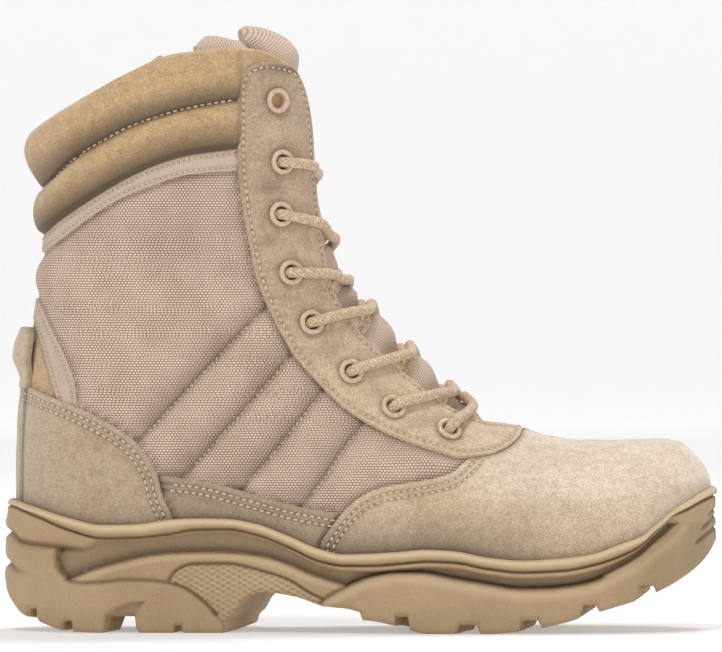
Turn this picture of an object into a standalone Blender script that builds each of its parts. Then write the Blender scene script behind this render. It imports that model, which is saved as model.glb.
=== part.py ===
"""Laced safety boot for the right foot, eight inches high.

Lengths are in millimetres in the tables and become metres in the meshes. The frame has its origin on
the ground under the middle of the sole, +X towards the toe, +Z up and -Y towards the outer side.

The upper is one function: half_width(x, z, side) gives how far the wall stands from the middle at a
place of the side view. Panels are cut from larger shells of the same function by their side outlines.
"""

import math
from collections import namedtuple

import bmesh
import bpy
import numpy as np
from mathutils import Matrix, Vector

MM = 0.001

# Driving dimensions
WALL = 2.4
GAP = 0.3
PANEL = 1.4
EYESTAY = 1.8
TAPE = 1.1
TAB = 1.6
TAB_FLARE = 5.0
TAB_FOOT = 107.0
TAB_RISE = 10.0
INSOLE = 3.5
EYELET_SEAT = 2.7
EYELET_OUTER = 5.4
EYELET_BORE = 3.2
EYELET_HOLE = 3.9
EYELET_SIDES = 8
EYELET_LIP = 1.2
EYELET_DEPTH = 3.9
EYELET_BARREL = 3.55
EYELET_CROWN = 4.1
RIDGE_END = 68.0
LACE = 4.6
LACE_CLEAR = 0.4
CROSSING_SHARE = 0.55
EDGE_SHARE = 0.45
FAR_DEPTH = 2.2
CROSSING_STEP = 1.0

LATERAL = -1
MEDIAL = 1
SIDE_NAMES = {LATERAL: "lateral", MEDIAL: "medial"}

# Last: the front and back lines of the closed foot form in the side view
Place = namedtuple("Place", "x z")
FRONT_LINE = [Place(*p) for p in (
    (149.1, 0), (149.1, 30), (149.1, 56), (148.4, 64.5), (146.6, 69), (143, 73.6), (139.4, 77),
    (134.8, 79.7), (128, 80.5), (114, 80.1), (99.7, 79.8), (86, 80.6), (75, 83), (67.5, 85.6),
    (60, 88.2), (53, 91.8), (46, 96.4), (35, 104), (24.5, 112.8), (14.6, 122.2), (5.4, 132.6),
    (-2.3, 143.5), (-8, 156), (-12, 170), (-15, 187), (-17, 205), (-18.5, 222), (-20.5, 240),
    (-23, 262), (-28, 300))]
BACK_LINE = [Place(*p) for p in (
    (-146.4, 0), (-146.4, 30), (-146.4, 64), (-146, 85), (-144.9, 101), (-142.6, 117), (-140.4, 132),
    (-138.2, 147), (-136.4, 161), (-135.6, 174), (-135.6, 188), (-136.2, 202), (-137.2, 215),
    (-138.6, 230), (-142, 260), (-147, 300))]

# Half widths of the last along the foot, beside the middle line that bends inwards at the toe
Width = namedtuple("Width", "x lateral medial bend")
FOOT_WIDTHS = [Width(*w) for w in (
    (-152, 34.5, 34.5, -0.5), (-110, 35.5, 35.0, -0.5), (-75, 36.5, 34.0, -0.5),
    (-45, 38.5, 32.5, -0.5), (-15, 42.5, 34.0, -0.5), (15, 48.0, 39.5, -0.2), (45, 51.5, 45.5, 0.5),
    (75, 51.0, 48.5, 2.0), (105, 49.0, 47.0, 4.0), (130, 46.5, 45.0, 6.0), (152, 43.5, 43.5, 7.5))]
Girth = namedtuple("Girth", "z half_width front_reach back_reach front_power")
SHAFT_WIDTHS = [Girth(*g) for g in (
    (20, 37, 42, 37, 2.0), (60, 37, 42, 37, 2.05), (90, 36.5, 43, 40, 2.2), (115, 36.5, 46, 46, 2.35),
    (140, 37.5, 52, 51, 2.35), (170, 39.5, 56, 54, 2.35), (205, 41.5, 58, 56, 2.35),
    (250, 43.5, 58, 57, 2.35), (300, 44, 58, 57, 2.35))]
BACK_POWER = 2.1
SHAFT_STARTS = 55
SHAFT_FULL = 118

# Sole: heights of its lines, a row for each section across the foot
Section = namedtuple("Section", "x tread part band groove rim bed proud")
SOLE = [Section(*s) for s in (
    (-152, 19.0, 29.0, 31.0, 53.6, 58.6, 42.0, 5.0), (-149, 12.5, 27.0, 29.5, 53.0, 57.6, 42.0, 5.7),
    (-145, 7.7, 25.2, 28.0, 51.6, 56.0, 42.0, 5.8), (-138, 4.8, 23.6, 26.0, 49.0, 53.8, 41.6, 5.2),
    (-125, 0.6, 22.0, 23.6, 43.7, 49.4, 40.8, 5.1), (-110, 0, 21.6, 27.4, 40.2, 46.0, 39.6, 5.0),
    (-96, 0, 22.6, 31.2, 40.5, 46.3, 39.5, 5.0), (-82, 0, 23.4, 33.2, 42.0, 48.2, 40.4, 5.0),
    (-71.5, 0, 29.0, 33.7, 43.8, 48.8, 41.0, 5.0), (-57.5, 0, 29.8, 33.5, 44.1, 48.6, 40.8, 5.0),
    (-45, 2.0, 27.3, 32.4, 41.8, 46.6, 38.6, 5.0), (-31, 4.0, 22.8, 28.4, 36.4, 41.6, 34.0, 5.0),
    (-18, 5.5, 16.8, 23.4, 30.6, 36.1, 29.4, 5.0), (-7.4, 6.0, 19.4, 21.0, 28.8, 33.7, 27.4, 5.1),
    (3, 5.5, 24.0, 25.0, 28.8, 34.0, 27.2, 5.2), (15.6, 3.0, 25.9, 26.8, 29.7, 34.8, 27.6, 5.3),
    (28, 0, 25.6, 26.7, 30.7, 35.8, 28.2, 5.4), (39, 0, 23.5, 24.8, 30.3, 35.2, 27.9, 5.5),
    (53, 0, 21.2, 22.6, 27.7, 32.5, 25.6, 5.5), (68, 1.1, 19.1, 20.6, 26.1, 31.2, 24.4, 5.5),
    (85, 4.4, 19.8, 21.3, 26.8, 32.2, 25.2, 5.4), (98, 8.4, 22.1, 23.6, 29.1, 34.1, 27.2, 5.2),
    (107, 11.0, 26.1, 27.4, 31.8, 37.4, 29.6, 5.0), (118, 14.4, 31.9, 33.2, 36.8, 41.6, 32.2, 4.6),
    (125, 17.2, 37.8, 39.2, 42.8, 47.0, 34.2, 4.1), (132, 20.6, 43.6, 45.2, 48.8, 52.8, 36.4, 3.7),
    (140, 25.2, 47.6, 49.2, 52.8, 57.2, 39.0, 3.3), (147, 31.0, 51.4, 53.0, 56.2, 61.0, 41.2, 3.1),
    (152, 38.5, 52.6, 54.2, 57.8, 62.6, 42.6, 3.1))]
SOLE_STEPS = 21
FOOT_TOE = 149.1
FOOT_HEEL = -146.4
LIP_SHARE = 0.58
CORE_STEP = 1.5
MIDSOLE_LEAST = 4.0
BAND_RECESS = 1.7
GROOVE_DEPTH = 1.5

# Tread grooves between the lugs, by their place on the outer edge and the height of their roof
Groove = namedtuple("Groove", "start end roof")
TREAD_GROOVES = [Groove(*g) for g in (
    (-144.9, -140.4, 10.0), (-128.3, -124.2, 5.0), (-109.8, -96.9, 7.0), (-80.6, -77.1, 3.2),
    (15.5, 21.5, 7.3), (41.8, 50.4, 4.0), (68.8, 76.3, 5.8), (93.6, 100.4, 12.1), (117.0, 123.5, 20.4))]
CHEVRON = 0.16
TREAD_EDGE = 45.0
ArchPoint = namedtuple("ArchPoint", "lateral_x medial_x z")
ARCH = [ArchPoint(*p) for p in (
    (-63, -43, -4), (-60.7, -40.5, 5.4), (-57.5, -38, 7.9), (-54.7, -35.5, 12.6), (-51.4, -33, 15.7),
    (-46.2, -30.5, 17.4), (-38.8, -27, 17.0), (-29, -22, 15.4), (-17.5, -13, 11.5), (-6, -4, 10.5),
    (-0.6, 1, 9.0), (2.0, 4, -4))]
ARCH_HALF_SPAN = 60.0

# Wall grid: the foot of each column on the footbed and its top on the ridge, throat or collar line
Column = namedtuple("Column", "foot_x top_x top_z")
COLUMNS = [Column(*c) for c in (
    (149.1, 134.8, 79.7), (146, 128.5, 80.5), (137.5, 119.5, 80.3), (124, 107.5, 79.9),
    (107.5, 93.5, 80.0), (90.5, 79, 82.0), (74, 65.5, 86.3), (58, 52.5, 88.3), (42, 36, 95.4),
    (26, 17.5, 109.6), (9, 0.5, 124.8), (-8, -13.2, 146), (-26, -18.3, 169), (-44, -21.2, 194),
    (-62, -23, 219), (-79, -28, 237.6), (-96, -48, 247.2), (-112, -74, 246.4), (-126, -98, 237.8),
    (-137, -117, 228.2), (-143.8, -130.5, 220.8), (-146.4, -137.2, 216.2))]
RIDGE_COLUMNS = 7
HALF_BOX = [Place(-95, 0), Place(15, 0), Place(15, 95), Place(-95, 95)]
ROWS = 8
COLLAR_SPAN = (0.56, 1)
COLLAR_ROWS = 10
COLLAR_FIRST_COLUMN = 13
TAB_SPAN = (0.3, 0.55)
TAB_ROWS = 5
TAB_FIRST_COLUMN = 17

# Panels by their outlines in the side view
EYESTAY_EDGE = [Place(*p) for p in (
    (-41, 251), (-47, 245.4), (-51.2, 240.5), (-53.3, 233), (-53.3, 205), (-52.2, 189.9),
    (-50.3, 176.3), (-48, 164.5), (-45.3, 151.4), (-40.8, 139.6), (-35.3, 128.7), (-29, 117.9),
    (-19.1, 106.6), (-5.1, 93.6), (13.6, 83.3), (32.2, 76.8), (43.4, 74), (53.7, 74.9), (63, 78.7),
    (68, 84), (69.5, 95))]
VAMP_SEAM = [Place(*p) for p in (
    (-17.6, 25), (-17.6, 36.7), (-13, 45), (-7.4, 52), (-0.6, 57.9), (9.6, 62.2), (19.9, 63.9),
    (36.9, 67.3), (45.4, 74))]
COUNTER_EDGE = [Place(*p) for p in (
    (-160, 106.5), (-145.9, 105.4), (-133.2, 100.6), (-119.6, 95.2), (-106, 88), (-96.9, 81.6),
    (-92.4, 76.2), (-87.4, 68), (-84.8, 58), (-80.6, 48), (-80, 30))]
SHANK_EDGE = [Place(*p) for p in (
    (-86, 66.8), (-69.8, 65.0), (-47.1, 59.2), (-29, 54.2), (-10.8, 51.0))]
COLLAR_FOOT = [Place(*p) for p in (
    (-160, 158), (-136.4, 169.1), (-128.7, 175.4), (-115.1, 184.5), (-101.5, 192.6), (-87.9, 199),
    (-74.3, 203.1), (-54.8, 205.8))]
COLLAR_VALLEY = [Place(*p) for p in (
    (-160, 186), (-140.4, 190.4), (-133.2, 194.9), (-124.1, 201.7), (-110.6, 208.9), (-96.9, 216.2),
    (-83.3, 220.7), (-69.8, 224.3), (-54.8, 226.6), (-40, 228))]
LOWER_ROLL = 3.2
UPPER_ROLL = 7.5
UPPER_ROLL_SIDE = 5.0
TAPE_FOOT = [Place(*p) for p in (
    (-160, 152), (-137.3, 161.6), (-128.7, 167.3), (-115.1, 177.3), (-101.5, 185.4), (-87.9, 190.8),
    (-74.3, 194.9), (-54.8, 196.7))]
ANKLE_TAPE_BACK = [Place(*p) for p in ((-142.5, 140), (-135.9, 121.5), (-132.3, 107.9), (-130.2, 101))]
ANKLE_TAPE_FRONT = [Place(*p) for p in ((-121.6, 98.4), (-121.9, 103.4), (-125.9, 116), (-132.3, 128.7),
                                        (-142.5, 150))]
FINGER_TAB = [Place(*p) for p in (
    (-165, 106.8), (-133.8, 103.4), (-136.6, 115), (-139.8, 129.4), (-165, 133))]

# Eyelets down the eyestay; the highest is left unlaced
EYELETS = [Place(*p) for p in (
    (-37, 226.5), (-35, 200.5), (-35.4, 178.2), (-31, 153.2), (-22, 131.8), (-5, 110.6), (13, 95.2),
    (36.5, 85.2))]
FIRST_LACED = 1

# Tongue: sections up the front line; puff is how far it swells between the eyestay's edges
TongueRow = namedtuple("TongueRow", "z depth thickness recess puff")
TONGUE = [TongueRow(*r) for r in (
    (87.4, 8, 3.0, 1.3, 0), (91, 11, 3.5, 1.2, 0.8), (97, 14, 4.5, 0.9, 4.0), (106, 16, 5.5, 0.9, 6.6),
    (119, 18, 6.0, 0.9, 6.8), (133, 20, 6.5, 0.9, 6.4), (148, 23, 6.5, 1.0, 3.6), (166, 26, 6.5, 1.4, 1.0),
    (190, 30, 6.5, 2.0, 0), (213, 35, 6.5, 3.0, 0), (230, 40, 7.5, 4.4, 0), (243, 45, 9.0, 6.4, 0),
    (252.5, 48, 10.5, 8.0, 0), (260, 47, 9.0, 9.5, 0))]
TONGUE_STEPS = 4
PUFF_HALF_WIDTH = 19.0

COLOURS = {
    "sole": (0.43, 0.30, 0.18), "suede": (0.60, 0.46, 0.31), "nylon": (0.58, 0.43, 0.33),
    "tape": (0.60, 0.48, 0.38), "leather": (0.51, 0.35, 0.20), "metal": (0.61, 0.46, 0.34),
    "lace": (0.58, 0.42, 0.28), "foam": (0.25, 0.21, 0.17)}
ROUGHNESS = {"metal": 0.45, "sole": 0.7}


# Curves and tables

def follow(places, values, at):
    """The smooth curve through (places, values), read at each of `at`, with no overshoot."""
    order = np.argsort(places)
    xs = np.asarray(places, float)[order]
    ys = np.asarray(values, float)[order]
    step = np.diff(xs)
    slope = np.diff(ys) / step
    tangent = np.zeros_like(ys)
    tangent[0] = slope[0]
    tangent[-1] = slope[-1]
    rising = slope[:-1] * slope[1:] > 0
    near = 2 * step[1:] + step[:-1]
    far = step[1:] + 2 * step[:-1]
    safe = np.where(rising, slope[:-1] * slope[1:], 1.0)
    mean = (near + far) * safe / (near * slope[1:] + far * slope[:-1] + np.where(rising, 0.0, 1.0))
    tangent[1:-1] = np.where(rising, mean, 0.0)
    at = np.clip(np.asarray(at, float), xs[0], xs[-1])
    span = np.clip(np.searchsorted(xs, at) - 1, 0, len(step) - 1)
    t = (at - xs[span]) / step[span]
    width = step[span]
    rest = 1 - t
    return (ys[span] * rest * rest * (1 + 2 * t) + tangent[span] * width * t * rest * rest
            + ys[span + 1] * t * t * (3 - 2 * t) - tangent[span + 1] * width * t * t * rest)


def column(rows, name, at):
    """A named column of a table, read smoothly against the table's first column."""
    return follow([row[0] for row in rows], [getattr(row, name) for row in rows], at)


def rounded_line(points, steps):
    """More points on the smooth curve through the given ones."""
    points = np.asarray(points, float)
    length = np.concatenate([[0], np.cumsum(np.linalg.norm(np.diff(points, axis=0), axis=1))])
    at = np.interp(np.linspace(0, len(points) - 1, (len(points) - 1) * steps + 1),
                   np.arange(len(points)), length)
    return np.stack([follow(length, points[:, k], at) for k in range(points.shape[1])], axis=1)


def ease(t):
    """Rises smoothly from 0 to 1."""
    t = np.clip(t, 0, 1)
    return t * t * (3 - 2 * t)


# Last

def soft_distance(x, z, line):
    """Distance from side-view places to a line, rounded where the line turns.

    It is the inverse fourth power of distance summed along the line, scaled to be exact beside a
    straight one.
    """
    def part_sum(along, away):
        square = away * away
        return along / (2 * square * (square + along * along)) + np.arctan(along / away) / (2 * square * away)

    total = 0
    for start, end in zip(line[:-1], line[1:]):
        run = end - start
        length = math.hypot(*run)
        along_x, along_z = run / length
        from_x = x - start[0]
        from_z = z - start[1]
        first = -(from_x * along_x + from_z * along_z)
        away = np.maximum(np.abs(from_x * along_z - from_z * along_x), 0.01)
        total = total + part_sum(first + length, away) - part_sum(first, away)
    return (total * 2 / math.pi) ** (-1 / 3)


def rounding(distance, reach, power):
    """0 on a silhouette line and 1 where the wall has its full width, shaped like an ellipse."""
    inward = 1 - np.clip(distance / reach, 0, 1)
    return np.maximum(1 - inward ** power, 0) ** (1 / power)


FRONT_CURVE = rounded_line(FRONT_LINE, 2)
BACK_CURVE = rounded_line(BACK_LINE, 1)


def half_width(x, z, side):
    """Distance of the wall's outer face from the middle line, for places in the side view."""
    x = np.asarray(x, float)
    z = np.asarray(z, float)
    foot = column(FOOT_WIDTHS, SIDE_NAMES[side], x)
    shaft = column(SHAFT_WIDTHS, "half_width", z)
    full = foot + (shaft - foot) * ease((z - SHAFT_STARTS) / (SHAFT_FULL - SHAFT_STARTS))
    front = rounding(soft_distance(x, z, FRONT_CURVE), column(SHAFT_WIDTHS, "front_reach", z),
                     column(SHAFT_WIDTHS, "front_power", z))
    back = rounding(soft_distance(x, z, BACK_CURVE), column(SHAFT_WIDTHS, "back_reach", z), BACK_POWER)
    return full * front * back


def wall_point(x, z, side):
    """Points of the wall's outer face."""
    y = column(FOOT_WIDTHS, "bend", x) + side * half_width(x, z, side)
    return np.stack([x, y, z], axis=-1)


def along_line(line, start_z, end, fractions):
    """Places on a silhouette line, by fractions of its length from a height up to a point on it."""
    fine = rounded_line(line, 6)
    last = int(np.argmin(np.linalg.norm(fine - np.asarray(end), axis=1)))
    first = int(np.argmax(fine[:, 1] > start_z))
    start = (np.interp(start_z, fine[:first + 1, 1], fine[:first + 1, 0]), start_z)
    piece = np.concatenate([[start], fine[first:last], [end]])
    length = np.concatenate([[0], np.cumsum(np.linalg.norm(np.diff(piece, axis=0), axis=1))])
    at = fractions * length[-1]
    return np.stack([np.interp(at, length, piece[:, 0]), np.interp(at, length, piece[:, 1])], axis=1)


def wall_places(up):
    """Side-view places of the wall's grid: a row for each height fraction, columns from toe to heel."""
    foot_x = np.array([c.foot_x for c in COLUMNS])
    foot = np.stack([foot_x, column(SOLE, "bed", foot_x) + GAP], axis=1)
    top = np.array([(c.top_x, c.top_z) for c in COLUMNS])
    toe = along_line(FRONT_LINE, foot[0, 1], top[0], up)
    heel = along_line(BACK_LINE, foot[-1, 1], top[-1], up)
    across = np.linspace(0, 1, len(COLUMNS))[None, :, None]
    rise = up[:, None, None]
    corners = ((1 - rise) * ((1 - across) * foot[0] + across * foot[-1])
               + rise * ((1 - across) * top[0] + across * top[-1]))
    return ((1 - rise) * foot + rise * top + (1 - across) * toe[:, None] + across * heel[:, None] - corners)


Sheet = namedtuple("Sheet", "points faces normals feet tops")


def wall_sheet(up, first_column=0):
    """The wall's outer face, both sides joined at the toe, ridge and back seam, with its end rows."""
    places = wall_places(up)
    middle = column(FOOT_WIDTHS, "bend", places[..., 0])
    points = []
    faces = []
    feet = []
    tops = []
    known = {}

    def number(point):
        key = tuple(np.round(point, 4))
        if key not in known:
            known[key] = len(points)
            points.append(point)
        return known[key]

    for side in (LATERAL, MEDIAL):
        grid = wall_point(places[..., 0], places[..., 1], side)
        grid[:, 0, 1] = middle[:, 0]
        grid[:, -1, 1] = middle[:, -1]
        if up[-1] == 1:
            grid[-1, :RIDGE_COLUMNS, 1] = middle[-1, :RIDGE_COLUMNS]
        grid = grid[:, first_column:]
        for i in range(grid.shape[0] - 1):
            for j in range(grid.shape[1] - 1):
                a, b = number(grid[i, j]), number(grid[i + 1, j])
                c, d = number(grid[i + 1, j + 1]), number(grid[i, j + 1])
                faces += [(b, c, d)[::-side], (b, d, a)[::-side]]
        feet.append([number(point) for point in grid[0]])
        tops.append([number(point) for point in grid[-1]])
    points = np.array(points)
    return Sheet(points, faces, face_normals(points, faces), feet, tops)


def face_normals(points, faces):
    """Unit normals at the points of a sheet, averaged over its triangles."""
    normals = np.zeros_like(points)
    for a, b, c in faces:
        normals[[a, b, c]] += np.cross(points[b] - points[a], points[c] - points[a])
    return normals / np.linalg.norm(normals, axis=1)[:, None]


WALL_ROWS = np.sin(np.linspace(0, 1, ROWS + 1) * math.pi / 2) ** 0.9
WALL_SHEET = wall_sheet(WALL_ROWS)


# Objects

def make_collections():
    """Empties the scene and makes the collections for the parts and for the cutters."""
    for old in list(bpy.data.objects):
        bpy.data.objects.remove(old)
    made = []
    for name in ("safety_boot", "cutters"):
        collection = bpy.data.collections.new(name)
        bpy.context.scene.collection.children.link(collection)
        made.append(collection)
    return made


PARTS, CUTTERS = make_collections()


def material(name):
    """The Principled material of one kind of surface."""
    found = bpy.data.materials.get(name)
    if found:
        return found
    made = bpy.data.materials.new(name)
    made.use_nodes = True
    shader = made.node_tree.nodes["Principled BSDF"]
    shader.inputs["Base Color"].default_value = (*COLOURS[name.split("_")[0]], 1)
    shader.inputs["Roughness"].default_value = ROUGHNESS.get(name.split("_")[0], 0.85)
    return made


def mesh_object(name, points, faces, kind=None):
    """An object from points in millimetres, as a part of a kind of material or else as a cutter."""
    mesh = bpy.data.meshes.new(name)
    mesh.from_pydata([tuple(np.asarray(p) * MM) for p in points], [], [list(map(int, f)) for f in faces])
    work = bmesh.new()
    work.from_mesh(mesh)
    bmesh.ops.remove_doubles(work, verts=work.verts, dist=1e-6)
    work.to_mesh(mesh)
    work.free()
    return place(bpy.data.objects.new(name, mesh), name, kind)


def closed_mesh(name, points, faces, kind=None):
    """A closed object whose faces are turned outwards."""
    obj = mesh_object(name, points, faces, kind)
    work = bmesh.new()
    work.from_mesh(obj.data)
    bmesh.ops.recalc_face_normals(work, faces=work.faces)
    work.to_mesh(obj.data)
    work.free()
    return obj


def place(obj, name, kind):
    """Puts an object among the parts with its own material, or among the cutters."""
    if kind:
        PARTS.objects.link(obj)
        own = material(kind).copy()
        own.name = f"{kind}_{name}"
        obj.data.materials.clear()
        obj.data.materials.append(own)
        obj.data.shade_smooth()
        obj.data.set_sharp_from_angle(angle=math.radians(40))
    else:
        CUTTERS.objects.link(obj)
        obj.hide_render = True
        obj.hide_viewport = False
        obj.display_type = "WIRE"
    return obj


def mesh_from(obj):
    """The evaluated mesh of a curve object, welded; the curve is removed."""
    bpy.context.view_layer.update()
    mesh = bpy.data.meshes.new_from_object(obj.evaluated_get(bpy.context.evaluated_depsgraph_get()))
    bpy.data.objects.remove(obj)
    work = bmesh.new()
    work.from_mesh(mesh)
    bmesh.ops.remove_doubles(work, verts=work.verts, dist=1e-6)
    bmesh.ops.recalc_face_normals(work, faces=work.faces)
    work.to_mesh(mesh)
    work.free()
    return mesh


def prism(name, outline, start=-90.0, end=90.0, slant=0.0):
    """A cutter whose side-view outline runs across the boot from y = start to y = end."""
    curve = bpy.data.curves.new(name, "CURVE")
    curve.dimensions = "2D"
    curve.fill_mode = "BOTH"
    curve.extrude = (end - start) / 2 * MM
    spline = curve.splines.new("POLY")
    spline.points.add(len(outline) - 1)
    for point, (x, z) in zip(spline.points, outline):
        point.co = (x * MM, z * MM, 0, 1)
    spline.use_cyclic_u = True
    flat = bpy.data.objects.new(name, curve)
    CUTTERS.objects.link(flat)
    mesh = mesh_from(flat)
    mesh.transform(Matrix.Translation((0, (start + end) / 2 * MM, 0)) @ Matrix.Rotation(math.pi / 2, 4, "X"))
    mesh.transform(Matrix(((1, slant, 0, 0), (0, 1, 0, 0), (0, 0, 1, 0), (0, 0, 0, 1))))
    return place(bpy.data.objects.new(name, mesh), name, None)


def combine(obj, other, operation, solver="EXACT"):
    """A Boolean of two objects, left on the first as a modifier."""
    boolean = obj.modifiers.new(f"{operation.lower()}_{other.name}", "BOOLEAN")
    boolean.operation = operation
    boolean.object = other
    boolean.solver = solver


def grown(outline, by):
    """A closed outline moved outwards by a distance."""
    points = np.asarray(outline, float)
    before = points - np.roll(points, 1, axis=0)
    after = np.roll(points, -1, axis=0) - points
    turn = np.sum(points[:, 0] * np.roll(points[:, 1], -1) - points[:, 1] * np.roll(points[:, 0], -1))
    sign = 1 if turn > 0 else -1
    sum_normal = sum(np.stack([edge[:, 1], -edge[:, 0]], axis=1) / np.linalg.norm(edge, axis=1)[:, None]
                     for edge in (before, after))
    return points + sign * by * 2 * sum_normal / np.sum(sum_normal ** 2, axis=1)[:, None]


# Upper

def offset_sheet(name, offset, kind=None, sheet=WALL_SHEET):
    """The wall's face moved outwards by an offset, one number or one for each point."""
    return mesh_object(name, sheet.points + sheet.normals * np.reshape(offset, (-1, 1)), sheet.faces, kind)


def solidify(obj, thickness, outwards, weights=None):
    """Gives an open sheet its thickness, scaled point by point where weights are given."""
    solid = obj.modifiers.new("thickness", "SOLIDIFY")
    solid.thickness = thickness * MM
    solid.offset = 1 if outwards else -1
    solid.use_even_offset = False
    if weights is not None:
        group = obj.vertex_groups.new(name="thickness")
        for index, weight in enumerate(weights):
            group.add([index], float(weight), "REPLACE")
        solid.vertex_group = group.name


def strip_across(first, second):
    """Faces between two rows of points that face each other across the boot."""
    faces = []
    for a, b, c, d in zip(first, first[1:], second[1:], second):
        face = list(dict.fromkeys((a, b, c, d)))
        if len(face) > 2:
            faces.append(face)
    return faces


def closed_form(name, offset, drop):
    """The last grown by an offset, its foot lowered, closed across the footbed, throat and collar."""
    points = WALL_SHEET.points + WALL_SHEET.normals * offset
    feet = sorted(set(WALL_SHEET.feet[0] + WALL_SHEET.feet[1]))
    points[feet, 2] = WALL_SHEET.points[feet, 2] - drop
    caps = strip_across(*WALL_SHEET.feet)
    caps += strip_across(*(row[RIDGE_COLUMNS - 1:] for row in WALL_SHEET.tops))
    return closed_mesh(name, points, WALL_SHEET.faces + caps)


def eyelet_seats():
    """Middle and outward direction of each eyelet on the wall's outer face, both sides."""
    seats = []
    step = 2.0
    for side in (LATERAL, MEDIAL):
        for index, (x, z) in enumerate(EYELETS):
            spot = wall_point(x, z, side)
            along = wall_point(x + step, z, side) - wall_point(x - step, z, side)
            upwards = wall_point(x, z + step, side) - wall_point(x, z - step, side)
            out = np.cross(upwards, along) * side
            seats.append((side, index, spot, out / np.linalg.norm(out)))
    return seats


SOLE_X = (FOOT_TOE + FOOT_HEEL + (FOOT_TOE - FOOT_HEEL) * np.cos(np.linspace(0, math.pi, SOLE_STEPS + 1))) / 2


# Cutters shared by the panels

def outlines():
    """Closed side-view outlines of the panels."""
    x = np.concatenate([[158], SOLE_X, [-158]])
    rim = column(SOLE, "rim", x) + GAP
    return {
        "eyestay": EYESTAY_EDGE + [Place(90, 120), Place(60, 270)],
        "vamp": VAMP_SEAM + [Place(45.4, 110), Place(165, 110), Place(165, 20)],
        "counter": COUNTER_EDGE + [Place(-165, 30), Place(-165, 106.5)],
        "shank_strip": SHANK_EDGE + [Place(2, 49), Place(2, 20), Place(-90, 20)],
        "collar": COLLAR_FOOT + [Place(-40, 207), Place(-40, 262), Place(-165, 262), Place(-165, 158)],
        "collar_tape": TAPE_FOOT + [Place(-40, 198), Place(-40, 207)] + COLLAR_FOOT[::-1],
        "ankle_tape": ANKLE_TAPE_BACK + [Place(-129, 92), Place(-120, 92)] + ANKLE_TAPE_FRONT
                      + [Place(-165, 150), Place(-165, 134)],
        "heel_tab": FINGER_TAB,
        "below_rim": list(zip(x, rim)) + [(-158, 0), (158, 0)],
    }


OUTLINES = outlines()


def cutter(name, by=0.0):
    """The prism of a named outline, grown by a distance; each is made once."""
    full_name = f"{name}_prism_{by:g}"
    outline = grown(OUTLINES[name], by) if by else OUTLINES[name]
    return bpy.data.objects.get(full_name) or prism(full_name, outline)


def panel(name, outline, thickness, kind, clear_of=(), offset=GAP, weights=None,
          sheet=WALL_SHEET, solver="EXACT"):
    """A piece of the wall's outer layer inside an outline, above the sole and clear of its neighbours."""
    piece = offset_sheet(name, offset, kind, sheet)
    solidify(piece, thickness, True, weights)
    combine(piece, cutter(outline), "INTERSECT", solver)
    combine(piece, cutter("below_rim"), "DIFFERENCE", solver)
    for other in clear_of:
        combine(piece, cutter(other, GAP), "DIFFERENCE", solver)
    return piece


def collar_bulge(points):
    """How far the two padded rolls of the collar stand out at points of the wall."""
    x, z = points[:, 0], points[:, 2]
    foot = column(COLLAR_FOOT, "z", x)
    valley = column(COLLAR_VALLEY, "z", x)
    top = column([Place(c.top_x, c.top_z) for c in COLUMNS[15:]], "z", x)
    lower = np.clip((z - foot) / (valley - foot), 0, 1)
    upper = np.clip((z - valley) / (top - valley), 0, 1)
    nearness = ease((x + 60) / -70)
    upper_roll = UPPER_ROLL_SIDE + (UPPER_ROLL - UPPER_ROLL_SIDE) * nearness
    return (np.sin(math.pi * lower) ** 0.8 * LOWER_ROLL
            + np.sin(math.pi * upper ** 0.9) ** 0.7 * upper_roll)


def eyelet_hole_cutter():
    """All the eyelet holes as one cutter of short rods across the wall."""
    work = bmesh.new()
    for side, index, spot, out in eyelet_seats():
        turn = Matrix.Translation(spot * MM) @ aim(out) @ Matrix.Rotation(math.pi / EYELET_SIDES, 4, "Z")
        bmesh.ops.create_cone(work, cap_ends=True, segments=EYELET_SIDES, radius1=EYELET_HOLE * MM,
                              radius2=EYELET_HOLE * MM, depth=16 * MM, matrix=turn)
    mesh = bpy.data.meshes.new("eyelet_holes")
    work.to_mesh(mesh)
    work.free()
    return place(bpy.data.objects.new("eyelet_holes", mesh), "eyelet_holes", None)


def aim(direction):
    """The rotation that turns +Z to a direction."""
    return Vector(direction).to_track_quat("Z", "Y").to_matrix().to_4x4()


def make_upper():
    """The hollow wall and the panels sewn on it."""
    holes = eyelet_hole_cutter()
    upper = offset_sheet("upper", 0, "nylon")
    solidify(upper, WALL, False)
    combine(upper, holes, "DIFFERENCE")
    eyestay = panel("eyestay", "eyestay", EYESTAY, "suede")
    combine(eyestay, holes, "DIFFERENCE")
    panel("vamp", "vamp", PANEL, "suede", ["eyestay"])
    panel("heel_counter", "counter", PANEL, "suede")
    for side in (LATERAL, MEDIAL):
        strip = panel(f"shank_strip_{SIDE_NAMES[side]}", "shank_strip", PANEL, "suede", ["counter", "vamp"],
                      solver="MANIFOLD")
        half = prism(f"{SIDE_NAMES[side]}_half", HALF_BOX, *sorted((side * 5, side * 90)))
        combine(strip, half, "INTERSECT", "MANIFOLD")
    collar_rows = wall_sheet(np.linspace(*COLLAR_SPAN, COLLAR_ROWS + 1), COLLAR_FIRST_COLUMN)
    height = PANEL + collar_bulge(collar_rows.points)
    panel("collar_pad", "collar", height.max(), "leather", ["eyestay"], weights=height / height.max(),
          offset=2 * GAP, sheet=collar_rows)
    panel("collar_tape", "collar_tape", TAPE, "tape", ["eyestay", "collar"], solver="MANIFOLD")
    panel("ankle_tape", "ankle_tape", TAPE, "tape", ["counter", "collar_tape"])
    tab_rows = wall_sheet(np.linspace(*TAB_SPAN, TAB_ROWS + 1), TAB_FIRST_COLUMN)
    flare = GAP + TAB_FLARE * ease((tab_rows.points[:, 2] - TAB_FOOT) / TAB_RISE)
    panel("heel_tab", "heel_tab", TAB, "leather", ["counter", "ankle_tape"], offset=flare, sheet=tab_rows)


# Tongue, eyelets and lace

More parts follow.
